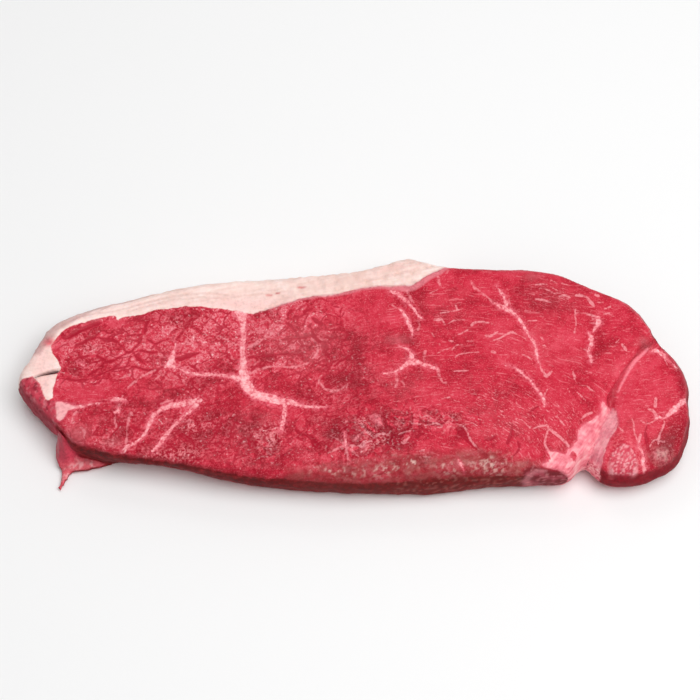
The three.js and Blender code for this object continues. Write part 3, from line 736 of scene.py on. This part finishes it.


# Stains and thin coats on the meat: the browned front edge, the grey rind of the cap, the mauve
# hem where cap meets lean, and silverskin. With them lie painted shade in the slit, the creases,
# the cap's grooves and dimples, under the loin's edge and on the tail's right rim, and painted
# highlights on the tail's lip and as sparkle in the hollow. They are laid over each other as
# washes of colour.
def colour(red, green, blue):
    """A colour given as a screen shows it, 0 to 255, for a material."""
    shown = [part / 255 for part in (red, green, blue)]
    light = [part / 12.92 if part <= 0.04045 else ((part + 0.055) / 1.055) ** 2.4 for part in shown]
    return (*light, 1)


RIND = [(-124, 4), (-121.5, 9), (-116.6, 14.7), (-110.6, 19.2), (-104.7, 23.4), (-97.5, 26.5), (-90, 28.8),
        (-84, 31.5), (-84, 50), (-140, 50), (-140, 4)]
HEM = [(-33.5, 24.4, 0.4), (-27, 26.4, 0.6), (-16, 29.4, 0.7), (-6.5, 30.7, 0.8), (4.5, 33.7, 0.9),
       (10.5, 34, 1.1), (15.5, 34, 1.6), (20.5, 33.5, 2.4), (23, 33.5, 2.6), (27, 35.5, 2.2), (31, 38.5, 2),
       (35, 41, 1.9), (39, 44.5, 1.9)]
HEM_EDGE = [(-40, 21.8, 0.4), (-27, 26.6, 0.6), (-16, 29.8, 0.6), (-6.5, 31.1, 0.7), (4.5, 34.1, 0.7),
            (15.5, 34.7, 0.7), (22.5, 34.8, 0.7), (27, 37, 0.7), (31, 40, 0.7), (36, 43, 0.6)]
RED_SPECKS = [
    [(-22.5, 34, 0.5), (-21.5, 34, 0.8), (-19.5, 34, 0.4)],
    [(-31, 31.5, 0.9), (-30, 31.5, 0.6)],
    [(-35, 30.5, 0.6), (-33, 30.5, 0.6)],
]
END_PIECE = [(65.5, -45.2), (68.5, -44.2), (74, -44.7), (82, -46.2), (85, -47), (86, -60), (66, -60)]
END_LINE = [(74, -45.4, 0.6), (70.6, -45.8, 0.9), (67, -47.4, 1.2), (65, -50, 1.2), (67, -52, 1)]
GREY_PATCHES = [
    (-104.5, 19.5, 3.4, 1.1, 10, 1), (-107, -31, 4.5, 4, 0, 0.7), (-93.5, -34.5, 3, 2, 0, 0.4),
    (17.5, 10, 5, 2.2, 0, 0.6), (72.5, 39.5, 3.5, 2, 0, 0.5), (115.5, 9, 2.5, 2.5, 0, 0.5),
    (-22, 10.5, 15, 9, 0, 0.3), (119, -39, 3.8, 2.8, 0, 0.6), (-75, 2, 4, 3, 0, 0.2),
    (80, 30, 12, 8, 0, 0.15),
]
DRY_FLECKS = [
    (36, -45.2, 4, 2.2, 0, 1), (53, -43.5, 8.5, 4.2, 0, 1), (12, -45.6, 10, 2.2, 4, 0.8),
    (-8, -46.4, 9, 1.6, -3, 0.8),
    (23, -42, 6, 1.6, 0, 0.5), (119, -39, 4, 3, 0, 0.5), (75, -47, 5, 1.4, -8, 0.5),
    (14, -39.5, 3, 1, 0, 0.5), (22, -43.5, 2, 1.8, 0, 1),
]
ROSY_FAT = [
    (-36, 26, 12, 4, 10, 0.7), (-50, 27, 8, 3, 0, 0.5), (-124, 4, 5, 8, 0, 0.75), (-122, -9, 4, 6, 0, 1),
    (18, 44, 10, 2, 15, 0.4), (-122, 9.4, 2, 1.6, 0, 1), (-70, 26.5, 30, 1.5, 0, 0.4),
    (-105, 21.5, 9, 2, 20, 0.5),
]
TAIL_RIM_SHADE = [(130, -7, 2.6, 6.5), (130.5, -25, 2, 4)]
RED_SPOT = [(-121.3, 9.2, 2.1, 1.8)]
SKIN_TURN = math.radians(68)


def washes(coats):
    """One coat of colour made of many, each given as its cover at every point and its colour."""
    cover = np.zeros(count)
    mixed = np.zeros((count, 3))
    for share, shown in coats:
        share = np.clip(share, 0, 1)
        under = cover * (1 - share)
        cover = share + under
        mixed = mixed * under[:, None] + np.array(colour(*shown)[:3]) * share[:, None]
        mixed /= np.maximum(cover, 1e-6)[:, None]
    return np.c_[mixed, cover]


along_skin, over_skin = along_and_over(SKIN_TURN)
in_cap = ease(-0.3, 0.3, cap_depth)
mottle = rough(points, 4, 4, shift=300)
rind = ease(-1, 1, depth_in_area(across + 0.6 * wander, RIND))
rind *= 1 - side * ease(-104, -86, across[:, 0] + 26 * mottle)
hem = ease(-0.7, 0.5, depth_in_line(across + 0.3 * wander, HEM))
hem_edge = ease(-0.5, 0.3, depth_in_line(across + 0.3 * wander, HEM_EDGE))
silverskin = ease(-0.5, 0.4, silverskin_depth)
end_piece = ease(-0.6, 0.6, depth_in_area(across + 0.4 * wander, END_PIECE))
end_line = ease(-0.5, 0.4, depth_in_line(across + 0.4 * wander, END_LINE))
flecks_and_sparkle = ease(0.14, 0.36, rough(points, 1.6, 2, shift=320))
pits = ease(0.1, 0.4, rough(points, 2, 2, shift=340))
skin_lines = ease(0.1, 0.4, rough(np.c_[over_skin / 1.1, along_skin / 12, height / 12], 1, 2))
browned = side * lean * ease(-45, -5, across[:, 0]) * (1 - in_tail)
browned_flecks = browned * flecks_and_sparkle * ease(5, 20, across[:, 0]) * (1 - ease(-30, 0, across[:, 1]))
left_of_fold = 1 - ease(-114, -111.5, across[:, 0])
shade_of_loin = hollow * ease(-37, -33.5, across[:, 1]) * ease(-108.5, -105, across[:, 0])

coats = [
    (browned * 0.5, (116, 36, 32)),
    (browned_flecks * 0.35, (182, 108, 100)),
    (side * in_tail * 0.6, (146, 22, 40)),
    (side * lean * (1 - ease(2, 5, height)) * ease(-0.2, 0.3, mottle) * 0.3, (150, 54, 58)),
    (patches(GREY_PATCHES) * fat_free * cut_face * 0.7, (186, 106, 112)),
    (nub * 0.85, (196, 64, 82)),
    (nub * pits * 0.8, (128, 22, 40)),
    (nub * flecks_and_sparkle * 0.6, (216, 118, 128)),
    (nub * side * 0.5, (116, 28, 40)),
    (band * cut_face * 0.55, (136, 50, 50)),
    (band * cut_face * ease(-0.1, 0.35, mottle) * 0.3, (164, 98, 92)),
    (end_piece * 0.85, (122, 36, 44)),
    (end_piece * ease(0, 0.4, mottle) * 0.7, (176, 72, 86)),
    (end_piece * flecks_and_sparkle * 0.6, (206, 116, 124)),
    (end_line * 0.45, (226, 140, 148)),
    (kernel * cut_face * 0.75, (206, 60, 82)),
    (kernel * cut_face * ease(0.08, 0.36, kernel_folds) * 0.72, (246, 170, 176)),
    (kernel_rim * cut_face * 0.7, (244, 168, 174)),
    (ease(-0.2, 0.4, depth_in_area(wandered, WEDGE)) * 0.6, (250, 190, 190)),
    (plate_shade * 0.6, (150, 18, 38)),
    (plate * 0.4, (230, 124, 136)),
    (silverskin * cut_face * (0.6 + 0.3 * ease(-0.3, 0.3, mottle)), (208, 112, 126)),
    (silverskin * cut_face * skin_lines * 0.6, (240, 160, 168)),
    (patches(DRY_FLECKS) * cut_face * flecks_and_sparkle * 0.85, (216, 168, 160)),
    (patches(ROSY_FAT) * in_cap * 0.7, (250, 196, 192)),
    (patches(RED_SPOT) * 1.3, (230, 112, 120)),
    # painted shade in the grooves along the cap
    (cap_groove * in_cap * 0.4, (214, 168, 158)),
    # painted shade in the dimples between the cap's lumps
    (in_cap * lumpy_cap * ease(0, 0.5, -lumps) * 0.4, (228, 188, 176)),
    (hem * 0.75, (228, 132, 142)),
    (hem_edge * 0.32, (176, 112, 116)),
    (rind * in_cap * (0.55 + 0.3 * side), (180, 126, 126)),
    (ease(-0.5, 0.3, depth_in_lines(across, RED_SPECKS)) * 0.7, (206, 70, 78)),
    # painted highlight along the lip of the tail's crease
    (tail_lip * cut_face * 0.85, (242, 130, 144)),
    # painted shade on the tail's right rim, which faces away from the light
    (patches(TAIL_RIM_SHADE) * lean * 0.6, (146, 20, 40)),
    (hollow * 0.85, (228, 106, 116)),
    # painted sparkle: pale flecks for the wet glints in the hollow
    (hollow * flecks_and_sparkle * 0.6, (238, 180, 182)),
    (shade_of_loin * 0.85, (96, 36, 40)),
    (fold * 0.9, (224, 68, 92)),
    (fold * left_of_fold * 0.7, (170, 62, 76)),
    # painted shade in the tail's crease
    (tail_crease * 0.5 * (1 - tail_lip), (150, 26, 44)),
    # painted shadow in the slit between the lobes of fat, near black
    (slit, (60, 14, 18)),
]
stains = steak.data.attributes.new("stains", "FLOAT_COLOR", "POINT")
stains.data.foreach_set("color", washes(coats).astype(np.float32).ravel())


def paint(name, values):
    """Keeps a value for each point of the slice, which its finish reads by name."""
    layer = steak.data.attributes.new(name, "FLOAT", "POINT")
    layer.data.foreach_set("value", values.astype(np.float32))


# Depths in lines and outlines are in millimetres, and fade on the walls. The rest are shares.
SHALLOWEST = -3
paint("seam", seam_depth - 1.2 * side)
paint("vein", np.maximum(vein_depth, SHALLOWEST) - 1.5 * side)
paint("sliver", np.maximum(sliver_depth, SHALLOWEST) - 1.5 * side)
paint("crease", np.maximum(crease_depth, SHALLOWEST) - 2 * side)
paint("bundle_parts", bundle_parts * cut_face)
paint("torn", torn * fat_free * cut_face)
paint("cap", cap_depth)
paint("pink", np.maximum(pink_depth, silverskin_depth) - 4 * end_piece)
paint("silverskin", silverskin_depth)
paint("grainy", grainy)
paint("crumbled", crumbled * cut_face)
paint("tone", patches(BRIGHT_OR_DARK))
paint("wall", side)
paint("streaky", np.clip(patches(STREAKY), 0.3, 1))


# The meat's finish: wet crimson lean with pale specks of grain and painted glints, pink seams of
# fat, and a cream cap. Shader maths is written as sums on wires, and each sum is a Math node.
MIX_SHARE, MIX_FIRST, MIX_SECOND, MIX_RESULT = 0, 6, 7, 2


class Wire:
    """An output socket of a material, whose arithmetic adds Math nodes."""

    tree = None

    def __init__(self, socket):
        self.socket = socket

    @classmethod
    def node(cls, kind, settings, inputs, output=0):
        """Adds a node: its settings are set first, then its sockets' values and links."""
        made = cls.tree.nodes.new("ShaderNode" + kind)
        for name, value in settings.items():
            if name == "stops":
                ramp = made.color_ramp
                while len(ramp.elements) < len(value):
                    ramp.elements.new(1)
                for stop, (place, tint) in zip(ramp.elements, value):
                    stop.position = place
                    stop.color = tint
            else:
                setattr(made, name, value)
        for name, value in inputs.items():
            if isinstance(value, Wire):
                cls.tree.links.new(value.socket, made.inputs[name])
            else:
                made.inputs[name].default_value = value
        return cls(made.outputs[output]) if made.outputs else None

    def math(self, operation, *others):
        return Wire.node("Math", {"operation": operation}, dict(enumerate((self, *others))))

    def __add__(self, other):
        return self.math("ADD", other)

    def __sub__(self, other):
        return self.math("SUBTRACT", other)

    def __rsub__(self, other):
        return Wire.node("Math", {"operation": "SUBTRACT"}, {0: other, 1: self})

    def __mul__(self, other):
        return self.math("MULTIPLY", other)

    __radd__ = __add__
    __rmul__ = __mul__

    def rise(self, low, high):
        """0 below low, 1 above high, and a smooth rise between."""
        sockets = {"Value": self, "From Min": low, "From Max": high, "To Min": 0.0, "To Max": 1.0}
        return Wire.node("MapRange", {"interpolation_type": "SMOOTHSTEP"}, sockets)


def blend(share, first, second):
    """first where share is 0, second where it is 1, for colours."""
    sockets = {MIX_SHARE: share, MIX_FIRST: first, MIX_SECOND: second}
    return Wire.node("Mix", {"data_type": "RGBA"}, sockets, MIX_RESULT)


def ramp(value, stops):
    settings = {"stops": [(place, colour(*shown)) for place, shown in stops]}
    return Wire.node("ValToRGB", settings, {"Fac": value})


def painted(name, output="Fac"):
    return Wire.node("Attribute", {"attribute_name": name}, {}, output)


def start_material(name):
    material = bpy.data.materials.new(name)
    material.use_nodes = True
    material.node_tree.nodes.clear()
    Wire.tree = material.node_tree
    return material


def finish_material(surface):
    Wire.node("OutputMaterial", {}, {"Surface": surface})


def speckle(place, scale, detail=2.0, roughness=0.6):
    """Even noise from 0 to 1. A scale of 1 makes specks of about a millimetre."""
    sockets = {"Vector": place, "Scale": scale, "Detail": detail, "Roughness": roughness}
    return Wire.node("TexNoise", {}, sockets)


def stretched(place, length, width):
    """The place scaled so that a cell of 1 is length long and width wide, in millimetres."""
    sockets = {"Vector": place, "Scale": (1 / length, 1 / width, 1 / width)}
    return Wire.node("Mapping", {"vector_type": "POINT"}, sockets)


def threads(place, length, thickness, detail=1.0):
    """Noise drawn out into threads along the first axis of its place, sized in millimetres."""
    return speckle(stretched(place, length, thickness), 1.0, detail, 0.5)


def turned(place, degrees):
    turn = (0, 0, math.radians(degrees))
    return Wire.node("Mapping", {"vector_type": "POINT"}, {"Vector": place, "Rotation": turn})


def bumped(height, strength, depth):
    """A bump of this depth in millimetres, for a surface's normal."""
    return Wire.node("Bump", {}, {"Strength": strength, "Distance": depth * MM, "Height": height})


def sway(place, scale, detail, reach):
    """The place pushed about by noise, by up to reach millimetres."""
    sockets = {"Vector": place, "Scale": scale, "Detail": detail}
    push = Wire.node("TexNoise", {}, sockets, "Color")
    settings = {"operation": "MULTIPLY_ADD"}
    return Wire.node("VectorMath", settings, {0: push, 1: (reach,) * 3, 2: place})


meat = start_material("moist_meat")
object_place = Wire.node("TexCoord", {}, {}, "Object")
place = Wire.node("VectorMath", {"operation": "SCALE"}, {"Vector": object_place, "Scale": 1 / MM})
fibre = painted("fibres", "Vector")
in_torn = painted("torn")
in_bundles = painted("bundle_parts")

dust = speckle(place, 2.0, 1.0)
glint = speckle(place, 0.9, 0.5)
fine = speckle(place, 1.0, 1.0)
medium = speckle(place, 0.5, 2.0)
ragged = speckle(place, 0.42, 1.0, 0.4)
patchy = speckle(place, 0.2, 1.5)
broad = speckle(place, 0.06, 3.0)
long_threads = threads(fibre, 5.0, 0.6)
short_threads = threads(fibre, 2.0, 0.45)

# Between the fibres of each bundle lies a broken net of pale tissue, seen end on. Some bundles
# show more of it than others, and they part along red lines.
swayed = sway(place, 0.55, 1.0, 1.4)
web_gap = Wire.node("TexVoronoi", {"feature": "DISTANCE_TO_EDGE"}, {"Vector": swayed, "Scale": 0.75})
web = 1 - web_gap.rise(0.04, 0.2)
curl = speckle(place, 0.62, 0.5)
curls = 1 - (curl - 0.5).math("ABSOLUTE").rise(0.03, 0.12)
breaks = (fine * 0.5 + medium * 0.5).rise(0.42, 0.56)
net = (web * 0.8 * breaks + curls).rise(0.0, 1.0)

broadly_swayed = sway(place, 0.13, 2.0, 7)


def parted(turn, length, width):
    """Random cells of meat: 1 on the lines between them, and a shade for each."""
    sockets = {"Vector": stretched(turned(broadly_swayed, turn), length, width), "Scale": 1.0}
    edge = Wire.node("TexVoronoi", {"feature": "DISTANCE_TO_EDGE"}, sockets)
    chance = Wire.node("TexVoronoi", {}, sockets, "Color")
    return 1 - (edge + (fine - 0.5) * 0.08).rise(0.03, 0.11), chance + 0.0


bundle_edge, bundle = parted(-28, 7.5, 5.0)
shard_edge, shard = parted(35, 4.4, 2.8)
bundle_line = bundle_edge * in_bundles * (0.2 + 0.8 * patchy.rise(0.4, 0.58))
shard_line = shard_edge * in_torn
crease_depths = painted("crease") + (ragged - 0.5) * 0.9
crease_line = crease_depths.rise(-0.05, 0.3)
crease_margin = crease_depths.rise(-0.4, 0.1)
red_line = (crease_line + bundle_line * 0.8 + shard_line).rise(0.0, 1.0)
grainy_share = painted("grainy") * (1 - 0.8 * crease_margin) * (1 - 0.6 * bundle_line)
plain_share = 1 - grainy_share

# The lean, from deep crimson where it is dark to pink where it is bright.
LEAN = [(0.0, (132, 10, 28)), (0.28, (164, 18, 40)), (0.5, (198, 38, 60)), (0.72, (216, 64, 84)),
        (1.0, (230, 98, 114))]
NET = [(0.3, (224, 112, 126)), (0.7, (244, 172, 178))]
value = 0.5 + (fine - 0.5) * (0.15 + 0.35 * grainy_share) + (medium - 0.5) * (0.12 + 0.4 * grainy_share)
value = value + (patchy - 0.5) * 0.4 + (broad - 0.5) * 0.8 + (long_threads - 0.5) * 0.25 * plain_share
value = value + painted("tone") * 0.32 + (bundle - 0.5) * 0.34 * in_bundles
value = value + (shard - 0.56) * 1.2 * in_torn
cover = bundle * 0.6 + (patchy * 0.5 + medium * 0.5).rise(0.38, 0.6) * 0.4
net_share = (grainy_share * net * (0.12 + 0.88 * cover) * 0.58).rise(0.0, 1.0)
streaks = long_threads.rise(0.61, 0.72) * 0.36 + short_threads.rise(0.58, 0.7) * 0.54 * painted("streaky")

# The fat in the lean. Its lines are frayed by noise, and the seams have hairs beside them.
SEAM_FAT = [(0.2, (208, 78, 94)), (0.38, (231, 125, 134)), (0.6, (242, 158, 164)), (0.85, (249, 190, 193))]
rag = (ragged - 0.5) * 3.2 + (fine - 0.5) * 1.2
seam_depths = painted("seam") - 0.12 + (fine - 0.5) * 0.6 + (ragged - 0.5) * 1.1
seam_value = 0.5 + (fine - 0.5) * 0.5 + (medium - 0.5) + painted("seam").rise(0.0, 2.0) * 0.2 - curls * 0.12
vein_share = (painted("vein") + rag * 0.3).rise(-0.3, 0.3) * (0.3 + 0.7 * medium.rise(0.4, 0.54))
sliver_share = (painted("sliver") + rag * 0.14).rise(-0.18, 0.2) * (0.5 + 0.5 * fine.rise(0.38, 0.54))
hairs = seam_depths.rise(-2.2, -0.2) * curls * 0.45

# The pink fat and silverskin in front of the tail, and the walls, where the lean is darkest.
PINK_FAT_TONES = [(0.36, (210, 80, 100)), (0.5, (240, 134, 146)), (0.64, (254, 190, 192))]
WALL = [(0.34, (66, 4, 8)), (0.5, (108, 8, 14)), (0.66, (154, 36, 42))]
fat_threads = threads(turned(place, -54), 9.0, 1.1, 2.0)
pink_depths = painted("pink") + rag * 0.5
pink_share = pink_depths.rise(-0.3, 0.3)
in_silverskin = painted("silverskin").rise(-0.5, 0.5)
pink_value = fat_threads * (0.3 + 0.45 * in_silverskin) + medium * 0.25 + patchy * 0.45 - 0.2 * in_silverskin
wall_share = painted("wall")
wall_value = medium * 0.5 + patchy * 0.3 + dust * 0.2

skin = ramp(value, LEAN)
for share, tint in (
    (grainy_share * cover * cover * 0.36, colour(214, 90, 104)),
    (net_share, ramp(dust, NET)),
    # painted glints: near-white specks on the grain where the wet surface catches the light
    (grainy_share * glint.rise(0.68, 0.76) * (0.2 + 0.5 * cover), colour(252, 206, 208)),
    (dust.rise(0.58, 0.72) * 0.3 * plain_share, colour(242, 156, 162)),
    ((streaks * plain_share).rise(0.0, 1.0), colour(242, 158, 165)),
    (red_line * 0.8, colour(166, 16, 42)),
    # painted shade in the crevices of the torn meat
    (crease_line * in_torn * 0.8, colour(140, 8, 30)),
    # painted glints on the torn meat
    (glint.rise(0.6, 0.7) * in_torn * 0.26, colour(250, 190, 194)),
    (vein_share * 0.6, colour(238, 146, 154)),
    (sliver_share * 0.66, colour(240, 156, 163)),
    (hairs + seam_depths.rise(-0.7, 0.1) * 0.35, colour(226, 104, 120)),
    (seam_depths.rise(-0.22, 0.22), ramp(seam_value, SEAM_FAT)),
    (painted("crumbled") * fine.rise(0.45, 0.6) * 0.45, colour(240, 150, 154)),
    (pink_depths.rise(-1.4, 0.0) * 0.5, colour(224, 92, 112)),
    (pink_share, ramp(pink_value, PINK_FAT_TONES)),
    (wall_share * (1 - pink_share), ramp(wall_value, WALL)),
):
    skin = blend(share, skin, tint)

# The cream fat of the cap, in faint layers along its length.
CREAM_FAT = [(0.35, (232, 199, 190)), (0.5, (242, 213, 205)), (0.65, (250, 229, 223))]
cap_threads = threads(turned(place, -14), 14.0, 1.0, 2.0)
cap_value = cap_threads * 0.3 + patchy * 0.35 + medium * 0.35 + painted("tone") * 0.3
cap_share = (painted("cap") + rag * 0.3).rise(-0.25, 0.25)

# The washes of colour lie over lean and cap alike, a little broken by grain.
WASH_GRAIN = [(0.32, (228, 228, 228)), (0.55, (255, 255, 255))]
wash_share = painted("stains", "Alpha")
wash_sockets = {
    MIX_SHARE: 1.0,
    MIX_FIRST: painted("stains", "Color"),
    MIX_SECOND: ramp(fine * 0.4 + medium * 0.6, WASH_GRAIN),
}
washed = Wire.node("Mix", {"data_type": "RGBA", "blend_type": "MULTIPLY"}, wash_sockets, MIX_RESULT)

bump_height = fine * (0.15 + 0.25 * grainy_share) + medium * 0.35 + long_threads * 0.15 - crease_margin * 0.3
bump_height = bump_height - bundle_line * 0.15 + (shard * 1.2 - shard_line * 0.8) * in_torn
lean_surface = Wire.node("BsdfPrincipled", {}, {
    "Base Color": blend(wash_share, skin, washed),
    "Roughness": (fine - 0.5) * 0.3 + 0.36 + wall_share * 0.3,
    "Normal": bumped(bump_height, 0.6, 0.35),
    "IOR": 1.38,
    "Specular IOR Level": 0.17,
    "Coat Weight": 0.06 * (1 - wall_share),
    "Coat Roughness": 0.25,
})
fat_surface = Wire.node("BsdfPrincipled", {}, {
    "Base Color": blend(wash_share, ramp(cap_value, CREAM_FAT), washed),
    "Roughness": 0.5,
    "Normal": bumped(cap_threads * 0.7 + fine * 0.15, 0.35, 0.3),
    "IOR": 1.4,
    "Specular IOR Level": 0.3,
    "Subsurface Weight": 0.2,
    "Subsurface Radius": (1.0, 0.5, 0.35),
    "Subsurface Scale": 2.0 * MM,
})
finish_material(Wire.node("MixShader", {}, {0: cap_share, 1: lean_surface, 2: fat_surface}))
steak.data.materials.append(meat)

bpy.ops.object.select_all(action="DESELECT")
steak.select_set(True)
bpy.context.view_layer.objects.active = steak
bpy.ops.object.shade_smooth()
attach(steak, "root")
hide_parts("steak")


# The studio: a plain pale floor that the slice lies on, three soft round lamps above and behind
# it in an even pale room, and a camera that looks down on the cut face from the front.
FLOOR_SIZE = 4.0
PALE = (0.86, 0.86, 0.86, 1)
bpy.ops.object.select_all(action="DESELECT")
bpy.ops.mesh.primitive_plane_add(size=FLOOR_SIZE, location=(0, 0, 0))
floor = bpy.context.object
floor.name = "floor"
floor_material = start_material("pale_floor")
finish_material(Wire.node("BsdfPrincipled", {}, {"Base Color": PALE, "Roughness": 0.8}))
floor.data.materials.append(floor_material)

TARGET = Vector((-1.5, 5.8, 20.0)) * MM
LAMPS = [
    ("key", (0.3, -0.1, 1.2), 1.0, 10.7),
    ("fill", (0.7, -0.3, 1.0), 0.9, 2.6),
    ("gloss", (-0.25, 0.75, 0.95), 0.3, 0.6),
]


def aimed(name, data, place):
    """A lamp or camera at this place, in metres, that faces the slice."""
    thing = bpy.data.objects.new(name, data)
    bpy.context.scene.collection.objects.link(thing)
    thing.location = place
    thing.rotation_euler = (TARGET - thing.location).to_track_quat("-Z", "Y").to_euler()
    return thing


for name, place, size, power in LAMPS:
    light = bpy.data.lights.new(name, "AREA")
    light.shape = "DISK"
    light.size = size
    light.energy = power
    aimed(name, light, place)

ROOM_LIGHT = 0.4
world = bpy.data.worlds.new("studio")
bpy.context.scene.world = world
world.use_nodes = True
room = world.node_tree.nodes["Background"].inputs
room["Color"].default_value = (1, 1, 1, 1)
room["Strength"].default_value = ROOM_LIGHT
bpy.context.scene.view_settings.view_transform = "Standard"

CAMERA_LENS = 100
CAMERA_SENSOR = 36
CAMERA_RISE = math.radians(63)
CAMERA_DISTANCE = 0.7716
camera_data = bpy.data.cameras.new("camera")
camera_data.lens = CAMERA_LENS
camera_data.sensor_width = CAMERA_SENSOR
towards_camera = Vector((0, -math.cos(CAMERA_RISE), math.sin(CAMERA_RISE)))
bpy.context.scene.camera = aimed("camera", camera_data, TARGET + CAMERA_DISTANCE * towards_camera)
